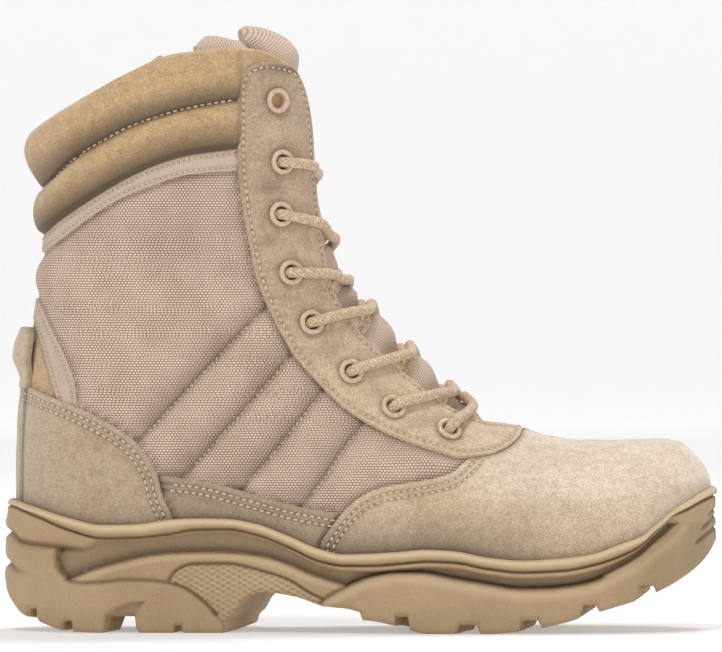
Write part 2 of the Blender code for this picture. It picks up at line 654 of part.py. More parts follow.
def front_places(z):
    """Places on the front line at given heights above the ridge, with the direction into the boot."""
    fine = rounded_line(FRONT_LINE, 8)
    fine = fine[np.argmax(fine[:, 0] < RIDGE_END):]
    x = np.interp(z, fine[:, 1], fine[:, 0])
    step = 2.0
    above, below = (np.interp(z + by, fine[:, 1], fine[:, 0]) for by in (step, -step))
    inward = np.stack([np.full_like(x, -2 * step), above - below], axis=-1)
    return np.stack([x, z], axis=-1), inward / np.linalg.norm(inward, axis=-1)[..., None]


def tongue_sheet():
    """Points, triangles and normals of the form that the tongue follows, and its points a row."""
    rows = []
    fractions = np.linspace(-1, 1, 2 * TONGUE_STEPS + 1)
    for row in TONGUE:
        place, inward = front_places(np.array([row.z]))
        line = []
        for f in fractions:
            x, z = place[0] + inward[0] * row.depth * f * f
            line.append(wall_point(x, z, LATERAL if f < 0 else MEDIAL) if f else
                        np.array([x, column(FOOT_WIDTHS, "bend", x), z]))
        rows.append(line)
    points = np.array(rows)
    count = points.shape[1]
    faces = []
    for i in range(points.shape[0] - 1):
        for j in range(count - 1):
            a, b, c, d = i * count + j, i * count + j + 1, (i + 1) * count + j + 1, (i + 1) * count + j
            faces += [(a, b, c), (a, c, d)]
    flat = points.reshape(-1, 3)
    return flat, faces, face_normals(flat, faces), count


def make_tongue():
    """The padded tongue, inside the wall at its sides and swelling between the eyestay's edges."""
    points, faces, normals, count = tongue_sheet()
    each = np.repeat(np.array([(r.thickness, r.recess, r.puff) for r in TONGUE]), count, axis=0)
    middle = column(FOOT_WIDTHS, "bend", points[:, 0])
    swell = np.cos(np.clip((points[:, 1] - middle) / PUFF_HALF_WIDTH, -1, 1) * math.pi / 2) ** 2
    offset = -(WALL + each[:, 1]) + each[:, 2] * swell
    tongue = mesh_object("tongue", points + normals * offset[:, None], faces, "nylon")
    solidify(tongue, each[:, 0].max(), False, each[:, 0] / each[:, 0].max())


def make_eyelets():
    """A flanged ring in every eyelet hole, turned from one profile."""
    profile = [(EYELET_BORE, -EYELET_DEPTH), (EYELET_BARREL, -EYELET_DEPTH), (EYELET_BARREL, 0),
               (EYELET_OUTER, 0), (EYELET_CROWN, EYELET_LIP), (EYELET_BORE, EYELET_LIP / 4)]
    points = []
    for k in range(EYELET_SIDES):
        angle = 2 * math.pi * (k + 0.5) / EYELET_SIDES
        points += [(r * math.cos(angle), r * math.sin(angle), h) for r, h in profile]
    size = len(profile)
    total = len(points)
    quads = [(k * size + j, (k + 1) * size % total + j, (k + 1) * size % total + (j + 1) % size,
              k * size + (j + 1) % size) for k in range(EYELET_SIDES) for j in range(size)]
    for side, index, spot, out in eyelet_seats():
        name = f"eyelet_{SIDE_NAMES[side]}_{index + 1}"
        ring = closed_mesh(name, points, quads, "metal")
        ring.matrix_world = Matrix.Translation((spot + out * EYELET_SEAT) * MM) @ aim(out)


def surface_out(place, side, lift):
    """A point off the wall's outer face by a lift, along its outward direction."""
    step = 2.0
    x, z = place
    along = wall_point(x + step, z, side) - wall_point(x - step, z, side)
    upwards = wall_point(x, z + step, side) - wall_point(x, z - step, side)
    out = np.cross(upwards, along) * side
    return wall_point(x, z, side) + out / np.linalg.norm(out) * lift


def throat_edge(z):
    """The side-view place on the throat's edge at a height."""
    rows = [(c.top_x, c.top_z) for c in COLUMNS[RIDGE_COLUMNS - 1:RIDGE_COLUMNS + 9]]
    return np.array([follow([r[1] for r in rows], [r[0] for r in rows], z), z])


def crossing_height(upper_eyelet, lower_eyelet):
    """Height of a lace crossing on the front line, between the eyelets that it joins."""
    fine = rounded_line(FRONT_LINE, 8)
    near = [fine[np.argmin(np.linalg.norm(fine - np.array(EYELETS[k]), axis=1)), 1]
            for k in (upper_eyelet, lower_eyelet)]
    return near[0] * (1 - CROSSING_SHARE) + near[1] * CROSSING_SHARE


def tongue_lift(z):
    """How far the tongue's face stands outside the closed form at the middle, at a height."""
    return column(TONGUE, "puff", z) - column(TONGUE, "recess", z) - WALL


def lace_route(upper_eyelet, lower_eyelet, side):
    """A lace run: from one eyelet over the eyestay's edge to the middle, then to the far edge."""
    high = LACE / 2 + GAP
    on_panel = EYESTAY + 2 * GAP + high
    start = np.array(EYELETS[upper_eyelet])
    middle_z = crossing_height(upper_eyelet, lower_eyelet)
    place, inward = front_places(np.array([middle_z]))
    edge = throat_edge(float(start[1] + (middle_z - start[1]) * EDGE_SHARE))
    heading = (edge - start) / np.linalg.norm(edge - start)
    near = start + heading * (EYELET_OUTER + GAP + 1.0)
    bend = column(FOOT_WIDTHS, "bend", place[0, 0])
    rise = tongue_lift(middle_z) + high + LACE_CLEAR
    top = np.array([place[0, 0] - inward[0, 0] * rise, bend, middle_z - inward[0, 1] * rise])
    low = np.array(EYELETS[lower_eyelet])
    far = throat_edge(float(low[1] + (middle_z - low[1]) * 0.75))
    far_z = (middle_z + far[1]) / 2
    far_place, far_inward = front_places(np.array([far_z]))
    depth = far_place[0] + far_inward[0] * FAR_DEPTH
    far_point = surface_out(depth, -side, tongue_lift(far_z) * 0.5 + high + LACE_CLEAR)
    return [surface_out(near, side, on_panel), surface_out(edge, side, on_panel), top, far_point]


def tube(name, points, kind=None):
    """A closed round tube along a smooth curve through points in millimetres."""
    line = rounded_line(points, 2)
    curve = bpy.data.curves.new(name, "CURVE")
    curve.dimensions = "3D"
    curve.bevel_depth = LACE / 2 * MM
    curve.bevel_resolution = 1
    curve.use_fill_caps = True
    spline = curve.splines.new("POLY")
    spline.points.add(len(line) - 1)
    for point, place_mm in zip(spline.points, line):
        point.co = (*(place_mm * MM), 1)
    obj = bpy.data.objects.new(name, curve)
    CUTTERS.objects.link(obj)
    return place(bpy.data.objects.new(name, mesh_from(obj)), name, kind)


def make_lace():
    """Each crossing as one solid of its two runs, and the straight bar across the lowest pair."""
    for index in range(FIRST_LACED, len(EYELETS) - 1):
        runs = [lace_route(index, index + 1, side) for side in (LATERAL, MEDIAL)]
        runs[1][2][0] += CROSSING_STEP
        crossing = tube(f"lace_crossing_{index + 1}", runs[0], "lace")
        combine(crossing, tube(f"lace_run_{index + 1}", runs[1]), "UNION")
    last = len(EYELETS) - 1
    half = [lace_route(last, last, side)[:3] for side in (LATERAL, MEDIAL)]
    tube("lace_lowest_bar", half[0] + half[1][1::-1], "lace")


# Sole

def sole_loop(heights, offset):
    """A loop round the sole: the wall's foot outline moved outwards by an offset, at given heights.

    It runs from the toe along the outer side to the heel and back along the inner side.
    """
    x = SOLE_X
    bend = column(FOOT_WIDTHS, "bend", x)
    rim = column(SOLE, "rim", x)
    sides = [bend + side * half_width(x, rim, side) for side in (LATERAL, MEDIAL)]
    for side in sides:
        side[[0, -1]] = bend[[0, -1]]
    loop_x = np.concatenate([x, x[-2:0:-1]])
    loop_y = np.concatenate([sides[0], sides[1][-2:0:-1]])
    run_x = np.roll(loop_x, -1) - np.roll(loop_x, 1)
    run_y = np.roll(loop_y, -1) - np.roll(loop_y, 1)
    far = offset(loop_x) / np.hypot(run_x, run_y)
    return np.stack([loop_x - run_y * far, loop_y + run_x * far, heights(loop_x)], axis=1)


def stack(name, loops, kind):
    """A solid of loops, one above another, closed across its bottom and top."""
    size = len(loops[0])
    faces = []
    for level in range(len(loops) - 1):
        low = level * size
        for k in range(size):
            after = (k + 1) % size
            faces.append((low + k, low + after, low + size + after, low + size + k))
    half = size // 2
    for start in (0, (len(loops) - 1) * size):
        outer = [start + k for k in range(half + 1)]
        inner = [start + (size - k) % size for k in range(half + 1)]
        faces += strip_across(outer, inner)
    return closed_mesh(name, np.concatenate(loops), faces, kind)


def level(name, plus=0.0, towards=None, share=0.0):
    """Heights along one line of the sole, moved up, or part of the way towards another line."""
    def heights(x):
        base = column(SOLE, name, x)
        goal = column(SOLE, towards, x) if towards else base
        return base + (goal - base) * share + plus
    return heights


def proud(plus=0.0, share=1.0):
    """How far the sole's side stands outside the wall, or a share of it, plus an amount."""
    return lambda x: column(SOLE, "proud", x) * share + plus


def core_height(x):
    """Height of the face between outsole and midsole, away from the sole's side."""
    return np.minimum(column(SOLE, "part", x) - CORE_STEP, column(SOLE, "bed", x) - MIDSOLE_LEAST)


def make_outsole():
    """The tread rubber: heel block, arch and forefoot block, with a lip round the midsole's foot."""
    loops = [
        sole_loop(level("tread"), proud(-1.2)),
        sole_loop(level("tread", 1.6), proud(0.3)),
        sole_loop(level("part", -1.2), proud(0.8)),
        sole_loop(level("part"), proud(0)),
        sole_loop(level("part"), proud(0, LIP_SHARE)),
        sole_loop(core_height, proud(0, LIP_SHARE)),
    ]
    outsole = stack("outsole", loops, "sole")
    arch = [(row.lateral_x, -ARCH_HALF_SPAN, row.z) for row in ARCH]
    arch += [(row.medial_x, ARCH_HALF_SPAN, row.z) for row in ARCH]
    count = len(ARCH)
    sides = [(k, (k + 1) % count, count + (k + 1) % count, count + k) for k in range(count)]
    ends = [tuple(range(count)), tuple(range(count, 2 * count))]
    combine(outsole, closed_mesh("arch", arch, sides + ends), "DIFFERENCE")
    for index, groove in enumerate(TREAD_GROOVES):
        combine(outsole, tread_cutter(f"tread_groove_{index}", groove), "DIFFERENCE")


def tread_cutter(name, groove):
    """A chevron bar under the sole, pointing to the toe, whose top is the groove's roof."""
    behind = [(groove.start + CHEVRON * (TREAD_EDGE - abs(y)), y) for y in (-75, 0, 75)]
    before = [(groove.end + CHEVRON * (TREAD_EDGE - abs(y)), y) for y in (75, 0, -75)]
    plan = behind + before
    count = len(plan)
    points = [(x, y, z) for z in (-8, groove.roof) for x, y in plan]
    sides = [(k, (k + 1) % count, count + (k + 1) % count, count + k) for k in range(count)]
    ends = [(a, b, 5 - b, 5 - a) for a, b in ((0, 1), (1, 2))]
    ends += [tuple(count + k for k in face) for face in ends]
    return closed_mesh(name, points, sides + ends)


def make_midsole():
    """The side wall with its recessed band, groove and rim, hollowed for the upper."""
    inner = proud(-GAP, LIP_SHARE)
    loops = [
        sole_loop(lambda x: core_height(x) + GAP, inner),
        sole_loop(level("part", GAP), inner),
        sole_loop(level("part", GAP), proud(-0.1)),
        sole_loop(level("band"), proud(-0.1)),
        sole_loop(level("band", 0, "groove", 0.12), proud(-BAND_RECESS)),
        sole_loop(level("band", 0, "groove", 0.66), proud(-BAND_RECESS)),
        sole_loop(level("band", 0, "groove", 0.78), proud(-0.3)),
        sole_loop(level("groove", -0.5), proud(-0.2)),
        sole_loop(level("groove"), proud(-GROOVE_DEPTH)),
        sole_loop(level("groove", 0.8), proud(0)),
        sole_loop(level("rim", -1.2), proud(0)),
        sole_loop(level("rim"), proud(-1.4)),
    ]
    midsole = stack("midsole", loops, "sole")
    combine(midsole, closed_form("last", GAP, GAP), "DIFFERENCE")


def make_insole():
    """The loose sole inside, between the footbed and the foot."""
    insole = closed_form("insole", -WALL - GAP, 1.0)
    CUTTERS.objects.unlink(insole)
    insole.hide_render = False
    insole.display_type = "TEXTURED"
    place(insole, "insole", "foam")
    x = np.array([153] + [c.foot_x for c in COLUMNS] + [-153])
    bed = column(SOLE, "bed", x) + 2 * GAP
    slab = list(zip(x, bed)) + list(zip(x[::-1], bed[::-1] + INSOLE))
    combine(insole, prism("insole_slab", slab), "INTERSECT")


make_upper()
make_tongue()
make_eyelets()
make_lace()
make_outsole()
make_midsole()
make_insole()
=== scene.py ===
"""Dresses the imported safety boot: fine panels, sole, collar, tongue, lace and their materials.

Tables are in millimetres, in the part's own frame: +X to the toe, +Z up, -Y the outer side.
"""
import math
from collections import namedtuple

import bpy
import numpy as np
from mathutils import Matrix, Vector


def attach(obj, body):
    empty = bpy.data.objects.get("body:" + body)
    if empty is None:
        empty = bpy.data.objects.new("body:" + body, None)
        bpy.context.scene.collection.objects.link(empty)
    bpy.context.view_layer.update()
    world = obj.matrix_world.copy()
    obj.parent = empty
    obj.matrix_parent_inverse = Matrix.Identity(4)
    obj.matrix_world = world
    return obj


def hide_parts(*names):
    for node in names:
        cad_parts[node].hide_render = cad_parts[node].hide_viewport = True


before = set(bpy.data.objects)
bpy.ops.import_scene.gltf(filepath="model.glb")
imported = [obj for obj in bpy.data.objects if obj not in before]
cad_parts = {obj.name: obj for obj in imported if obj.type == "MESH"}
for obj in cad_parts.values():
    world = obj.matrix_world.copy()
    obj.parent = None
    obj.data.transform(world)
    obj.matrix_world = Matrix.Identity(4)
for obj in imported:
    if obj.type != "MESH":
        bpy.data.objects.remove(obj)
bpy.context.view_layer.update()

MM = 0.001

# Driving dimensions, in millimetres, as in the part
WALL = 2.4
GAP = 0.3
EYESTAY = 1.8
TAPE = 1.1
TAB = 1.6
TAB_FLARE = 5.0
TAB_FOOT = 107.0
TAB_RISE = 10.0
INSOLE = 3.5
EYELET_SEAT = 2.7
EYELET_OUTER = 5.4
EYELET_BORE = 3.2
EYELET_HOLE = 3.9
EYELET_DEPTH = 3.9
EYELET_BARREL = 3.55
RIDGE_END = 68.0
LACE = 4.6
EDGE_SHARE = 0.45


def table(kind, rows):
    """Rows of numbers as named ones."""
    return [kind(*row) for row in rows]


LATERAL = -1
MEDIAL = 1
SIDE_NAMES = {LATERAL: "lateral", MEDIAL: "medial"}

# Last: the front and back lines of the closed foot form in the side view
Place = namedtuple("Place", "x z")
FRONT_LINE = table(Place, [
    (149.1, 0), (149.1, 30), (149.1, 56), (148.4, 64.5), (146.6, 69), (143, 73.6), (139.4, 77),
    (134.8, 79.7), (128, 80.5), (114, 80.1), (99.7, 79.8), (86, 80.6), (75, 83), (67.5, 85.6),
    (60, 88.2), (53, 91.8), (46, 96.4), (35, 104), (24.5, 112.8), (14.6, 122.2), (5.4, 132.6),
    (-2.3, 143.5), (-8, 156), (-12, 170), (-15, 187), (-17, 205), (-18.5, 222), (-20.5, 240),
    (-23, 262), (-28, 300)])
BACK_LINE = table(Place, [
    (-146.4, 0), (-146.4, 30), (-146.4, 64), (-146, 85), (-144.9, 101), (-142.6, 117), (-140.4, 132),
    (-138.2, 147), (-136.4, 161), (-135.6, 174), (-135.6, 188), (-136.2, 202), (-137.2, 215),
    (-138.6, 230), (-142, 260), (-147, 300)])

# Half widths of the last along the foot, beside the middle line that bends inwards at the toe
Width = namedtuple("Width", "x lateral medial bend")
FOOT_WIDTHS = table(Width, [
    (-152, 34.5, 34.5, -0.5), (-110, 35.5, 35.0, -0.5), (-75, 36.5, 34.0, -0.5),
    (-45, 38.5, 32.5, -0.5), (-15, 42.5, 34.0, -0.5), (15, 48.0, 39.5, -0.2), (45, 51.5, 45.5, 0.5),
    (75, 51.0, 48.5, 2.0), (105, 49.0, 47.0, 4.0), (130, 46.5, 45.0, 6.0), (152, 43.5, 43.5, 7.5)])
Girth = namedtuple("Girth", "z half_width front_reach back_reach front_power")
SHAFT_WIDTHS = table(Girth, [
    (20, 37, 42, 37, 2.0), (60, 37, 42, 37, 2.05), (90, 36.5, 43, 40, 2.2), (115, 36.5, 46, 46, 2.35),
    (140, 37.5, 52, 51, 2.35), (170, 39.5, 56, 54, 2.35), (205, 41.5, 58, 56, 2.35),
    (250, 43.5, 58, 57, 2.35), (300, 44, 58, 57, 2.35)])
BACK_POWER = 2.1
SHAFT_STARTS = 55
SHAFT_FULL = 118

# Sole: heights of its lines, a row for each section across the foot
Section = namedtuple("Section", "x tread groove rim bed proud")
SOLE = table(Section, [
    (-152, 19.0, 53.6, 58.6, 42.0, 5.0), (-149, 12.5, 53.0, 57.6, 42.0, 5.7),
    (-145, 7.7, 51.6, 56.0, 42.0, 5.8), (-138, 4.8, 49.0, 53.8, 41.6, 5.2),
    (-125, 0.6, 43.7, 49.4, 40.8, 5.1), (-110, 0, 40.2, 46.0, 39.6, 5.0),
    (-96, 0, 40.5, 46.3, 39.5, 5.0), (-82, 0, 42.0, 48.2, 40.4, 5.0), (-71.5, 0, 43.8, 48.8, 41.0, 5.0),
    (-57.5, 0, 44.1, 48.6, 40.8, 5.0), (-45, 2.0, 41.8, 46.6, 38.6, 5.0),
    (-31, 4.0, 36.4, 41.6, 34.0, 5.0), (-18, 5.5, 30.6, 36.1, 29.4, 5.0),
    (-7.4, 6.0, 28.8, 33.7, 27.4, 5.1), (3, 5.5, 28.8, 34.0, 27.2, 5.2),
    (15.6, 3.0, 29.7, 34.8, 27.6, 5.3), (28, 0, 30.7, 35.8, 28.2, 5.4), (39, 0, 30.3, 35.2, 27.9, 5.5),
    (53, 0, 27.7, 32.5, 25.6, 5.5), (68, 1.1, 26.1, 31.2, 24.4, 5.5), (85, 4.4, 26.8, 32.2, 25.2, 5.4),
    (98, 8.4, 29.1, 34.1, 27.2, 5.2), (107, 11.0, 31.8, 37.4, 29.6, 5.0),
    (118, 14.4, 36.8, 41.6, 32.2, 4.6), (125, 17.2, 42.8, 47.0, 34.2, 4.1),
    (132, 20.6, 48.8, 52.8, 36.4, 3.7), (140, 25.2, 52.8, 57.2, 39.0, 3.3),
    (147, 31.0, 56.2, 61.0, 41.2, 3.1), (152, 38.5, 57.8, 62.6, 42.6, 3.1)])
FOOT_TOE = 149.1
FOOT_HEEL = -146.4

# Tread grooves between the lugs, by their place on the outer edge and the height of their roof
Groove = namedtuple("Groove", "start end roof")
TREAD_GROOVES = table(Groove, [
    (-144.9, -140.4, 10.0), (-128.3, -124.2, 5.0), (-109.8, -96.9, 7.0), (-80.6, -77.1, 3.2),
    (15.5, 21.5, 7.3), (41.8, 50.4, 4.0), (68.8, 76.3, 5.8), (93.6, 100.4, 12.1), (117.0, 123.5, 20.4)])
CHEVRON = 0.16
TREAD_EDGE = 45.0
ArchPoint = namedtuple("ArchPoint", "lateral_x medial_x z")
ARCH = table(ArchPoint, [
    (-63, -43, -4), (-60.7, -40.5, 5.4), (-57.5, -38, 7.9), (-54.7, -35.5, 12.6), (-51.4, -33, 15.7),
    (-46.2, -30.5, 17.4), (-38.8, -27, 17.0), (-29, -22, 15.4), (-17.5, -13, 11.5), (-6, -4, 10.5),
    (-0.6, 1, 9.0), (2.0, 4, -4)])
ARCH_HALF_SPAN = 60.0

# Wall grid: the foot of each column on the footbed and its top on the ridge, throat or collar line
Column = namedtuple("Column", "foot_x top_x top_z")
COLUMNS = table(Column, [
    (149.1, 134.8, 79.7), (146, 128.5, 80.5), (137.5, 119.5, 80.3), (124, 107.5, 79.9),
    (107.5, 93.5, 80.0), (90.5, 79, 82.0), (74, 65.5, 86.3), (58, 52.5, 88.3), (42, 36, 95.4),
    (26, 17.5, 109.6), (9, 0.5, 124.8), (-8, -13.2, 146), (-26, -18.3, 169), (-44, -21.2, 194),
    (-62, -23, 219), (-79, -28, 237.6), (-96, -48, 247.2), (-112, -74, 246.4), (-126, -98, 237.8),
    (-137, -117, 228.2), (-143.8, -130.5, 220.8), (-146.4, -137.2, 216.2)])
RIDGE_COLUMNS = 7

# Panels by their outlines in the side view
EYESTAY_EDGE = table(Place, [
    (-41, 251), (-47, 245.4), (-51.2, 240.5), (-53.3, 233), (-53.3, 205), (-52.2, 189.9),
    (-50.3, 176.3), (-48, 164.5), (-45.3, 151.4), (-40.8, 139.6), (-35.3, 128.7), (-29, 117.9),
    (-19.1, 106.6), (-5.1, 93.6), (13.6, 83.3), (32.2, 76.8), (43.4, 74), (53.7, 74.9), (63, 78.7),
    (68, 84), (69.5, 95)])
VAMP_SEAM = table(Place, [
    (-17.6, 25), (-17.6, 36.7), (-13, 45), (-7.4, 52), (-0.6, 57.9), (9.6, 62.2), (19.9, 63.9),
    (36.9, 67.3), (45.4, 74)])
COUNTER_EDGE = table(Place, [
    (-160, 106.5), (-145.9, 105.4), (-133.2, 100.6), (-119.6, 95.2), (-106, 88), (-96.9, 81.6),
    (-92.4, 76.2), (-87.4, 68), (-84.8, 58), (-80.6, 48), (-80, 30)])
SHANK_EDGE = table(Place, [
    (-86, 66.8), (-69.8, 65.0), (-47.1, 59.2), (-29, 54.2), (-10.8, 51.0)])
COLLAR_FOOT = table(Place, [
    (-160, 158), (-136.4, 169.1), (-128.7, 175.4), (-115.1, 184.5), (-101.5, 192.6), (-87.9, 199),
    (-74.3, 203.1), (-54.8, 205.8)])
COLLAR_VALLEY = table(Place, [
    (-160, 186), (-140.4, 190.4), (-133.2, 194.9), (-124.1, 201.7), (-110.6, 208.9), (-96.9, 216.2),
    (-83.3, 220.7), (-69.8, 224.3), (-54.8, 226.6), (-40, 228)])
LOWER_ROLL = 3.2
UPPER_ROLL = 7.5
UPPER_ROLL_SIDE = 5.0
TAPE_FOOT = table(Place, [
    (-160, 152), (-137.3, 161.6), (-128.7, 167.3), (-115.1, 177.3), (-101.5, 185.4), (-87.9, 190.8),
    (-74.3, 194.9), (-54.8, 196.7)])
ANKLE_TAPE_BACK = table(Place, [(-142.5, 140), (-135.9, 121.5), (-132.3, 107.9), (-130.2, 101)])
ANKLE_TAPE_FRONT = table(Place, [
    (-121.6, 98.4), (-121.9, 103.4), (-125.9, 116), (-132.3, 128.7), (-142.5, 150)])

# Eyelets down the eyestay; the highest is left unlaced
EYELETS = table(Place, [
    (-37, 226.5), (-35, 200.5), (-35.4, 178.2), (-31, 153.2), (-22, 131.8), (-5, 110.6), (13, 95.2),
    (36.5, 85.2)])
FIRST_LACED = 1

# Tongue: sections up the front line; puff is how far it swells between the eyestay's edges
TongueRow = namedtuple("TongueRow", "z depth thickness recess puff")
TONGUE = table(TongueRow, [
    (87.4, 8, 3.0, 1.3, 0), (91, 11, 3.5, 1.2, 0.8), (97, 14, 4.5, 0.9, 4.0), (106, 16, 5.5, 0.9, 6.6),
    (119, 18, 6.0, 0.9, 6.8), (133, 20, 6.5, 0.9, 6.4), (148, 23, 6.5, 1.0, 3.6), (166, 26, 6.5, 1.4, 1.0),
    (190, 30, 6.5, 2.0, 0), (213, 35, 6.5, 3.0, 0), (230, 40, 7.5, 4.4, 0), (243, 45, 9.0, 6.4, 0),
    (252.5, 48, 10.5, 8.0, 0), (260, 47, 9.0, 9.5, 0)])
PUFF_HALF_WIDTH = 19.0


# Curves and tables

def follow(places, values, at):
    """The smooth curve through (places, values), read at each of `at`, with no overshoot."""
    order = np.argsort(places)
    xs = np.asarray(places, float)[order]
    ys = np.asarray(values, float)[order]
    step = np.diff(xs)
    slope = np.diff(ys) / step
    tangent = np.zeros_like(ys)
    tangent[0] = slope[0]
    tangent[-1] = slope[-1]
    rising = slope[:-1] * slope[1:] > 0
    near = 2 * step[1:] + step[:-1]
    far = step[1:] + 2 * step[:-1]
    safe = np.where(rising, slope[:-1] * slope[1:], 1.0)
    mean = (near + far) * safe / (near * slope[1:] + far * slope[:-1] + np.where(rising, 0.0, 1.0))
    tangent[1:-1] = np.where(rising, mean, 0.0)
    at = np.clip(np.asarray(at, float), xs[0], xs[-1])
    span = np.clip(np.searchsorted(xs, at) - 1, 0, len(step) - 1)
    t = (at - xs[span]) / step[span]
    width = step[span]
    rest = 1 - t
    return (ys[span] * rest * rest * (1 + 2 * t) + tangent[span] * width * t * rest * rest
            + ys[span + 1] * t * t * (3 - 2 * t) - tangent[span + 1] * width * t * t * rest)


def column(rows, name, at):
    """A named column of a table, read smoothly against the table's first column."""
    return follow([row[0] for row in rows], [getattr(row, name) for row in rows], at)


def rounded_line(points, steps):
    """More points on the smooth curve through the given ones."""
    points = np.asarray(points, float)
    length = length_along(points)
    at = np.interp(np.linspace(0, len(points) - 1, (len(points) - 1) * steps + 1),
                   np.arange(len(points)), length)
    return np.stack([follow(length, points[:, k], at) for k in range(points.shape[1])], axis=1)


def ease(t):
    """Rises smoothly from 0 to 1."""
    t = np.clip(t, 0, 1)
    return t * t * (3 - 2 * t)


def step_up(distance, width):
    """From 0 to 1 across a signed distance, centred on 0."""
    return ease(0.5 + distance / width)


def bell(distance, width):
    """1 where the distance is 0, falling smoothly to 0 on both sides."""
    return np.exp(-(distance / width) ** 2)


def round_off(distance, reach, least=0):
    """Rises from 0 at an edge to 1, like a quarter of a circle."""
    return np.sqrt(np.clip(1 - (1 - np.clip(distance / reach, 0, 1)) ** 2, least, 1))


def blend(first, second, share):
    """From the first to the second by a share."""
    return first + (second - first) * share


def eased_places(start, end, count):
    """Places from start to end, closer together near both."""
    return start + (end - start) * (1 - np.cos(np.linspace(0, math.pi, count))) / 2


def length_along(points):
    """Length along a line of points, up to each of them."""
    return np.concatenate([[0], np.cumsum(np.linalg.norm(np.diff(points, axis=0), axis=1))])


def cells(numbers):
    """The corners of each cell in a grid of numbers, in turn."""
    return numbers[:-1, :-1], numbers[1:, :-1], numbers[1:, 1:], numbers[:-1, 1:]


def stacked(*corners):
    """Faces from lists of corners: one list of faces, or several of them one after another."""
    return np.concatenate([np.stack(c, -1).reshape(-1, len(c)) for c in corners])


# Last

def soft_distance(x, z, line):
    """Distance from side-view places to a line, rounded where the line turns.

    It is the inverse fourth power of distance summed along the line, scaled to be exact beside a
    straight one.
    """
    def part_sum(along, away):
        square = away * away
        return along / (2 * square * (square + along * along)) + np.arctan(along / away) / (2 * square * away)

    total = 0
    for start, end in zip(line[:-1], line[1:]):
        run = end - start
        length = math.hypot(*run)
        along_x, along_z = run / length
        from_x = x - start[0]
        from_z = z - start[1]
        first = -(from_x * along_x + from_z * along_z)
        away = np.maximum(np.abs(from_x * along_z - from_z * along_x), 0.01)
        total = total + part_sum(first + length, away) - part_sum(first, away)
    return (total * 2 / math.pi) ** (-1 / 3)


def rounding(distance, reach, power):
    """0 on a silhouette line and 1 where the wall has its full width, shaped like an ellipse."""
    inward = 1 - np.clip(distance / reach, 0, 1)
    return np.maximum(1 - inward ** power, 0) ** (1 / power)


FRONT_CURVE = rounded_line(FRONT_LINE, 2)
BACK_CURVE = rounded_line(BACK_LINE, 1)


def half_width(x, z, side):
    """Distance of the wall's outer face from the middle line, for places in the side view."""
    x = np.asarray(x, float)
    z = np.asarray(z, float)
    foot = column(FOOT_WIDTHS, SIDE_NAMES[side], x)
    shaft = column(SHAFT_WIDTHS, "half_width", z)
    full = foot + (shaft - foot) * ease((z - SHAFT_STARTS) / (SHAFT_FULL - SHAFT_STARTS))
    front = rounding(soft_distance(x, z, FRONT_CURVE), column(SHAFT_WIDTHS, "front_reach", z),
                     column(SHAFT_WIDTHS, "front_power", z))
    back = rounding(soft_distance(x, z, BACK_CURVE), column(SHAFT_WIDTHS, "back_reach", z), BACK_POWER)
    return full * front * back


def wall_point(x, z, side):
    """Points of the wall's outer face."""
    y = column(FOOT_WIDTHS, "bend", x) + side * half_width(x, z, side)
    return np.stack([x, y, z], axis=-1)


def along_line(line, start_z, end, fractions):
    """Places on a silhouette line, by fractions of its length from a height up to a point on it."""
    fine = rounded_line(line, 6)
    last = int(np.argmin(np.linalg.norm(fine - np.asarray(end), axis=1)))
    first = int(np.argmax(fine[:, 1] > start_z))
    start = (np.interp(start_z, fine[:first + 1, 1], fine[:first + 1, 0]), start_z)
    piece = np.concatenate([[start], fine[first:last], [end]])
    length = length_along(piece)
    at = fractions * length[-1]
    return np.stack([np.interp(at, length, piece[:, 0]), np.interp(at, length, piece[:, 1])], axis=1)


def front_places(z):
    """Places on the front line at given heights above the ridge, with the direction into the boot."""
    fine = rounded_line(FRONT_LINE, 8)
    fine = fine[np.argmax(fine[:, 0] < RIDGE_END):]
    x = np.interp(z, fine[:, 1], fine[:, 0])
    step = 2.0
    above, below = (np.interp(z + by, fine[:, 1], fine[:, 0]) for by in (step, -step))
    inward = np.stack([np.full_like(x, -2 * step), above - below], axis=-1)
    return np.stack([x, z], axis=-1), inward / np.linalg.norm(inward, axis=-1)[..., None]


def outward(x, z, side):
    """The wall's outward direction at a side-view place."""
    step = 2.0
    along = wall_point(x + step, z, side) - wall_point(x - step, z, side)
    upwards = wall_point(x, z + step, side) - wall_point(x, z - step, side)
    out = np.cross(upwards, along) * side
    return out / np.linalg.norm(out)


def surface_out(place, side, lift):
    """A point off the wall's outer face by a lift, along its outward direction."""
    return wall_point(*place, side) + outward(*place, side) * lift


def throat_edge(z):
    """The side-view place on the throat's edge at a height."""
    rows = [(c.top_x, c.top_z) for c in COLUMNS[RIDGE_COLUMNS - 1:RIDGE_COLUMNS + 9]]
    return np.array([follow([r[1] for r in rows], [r[0] for r in rows], z), z])


# Sheets: triangles whose points carry a place, an outward direction and named numbers

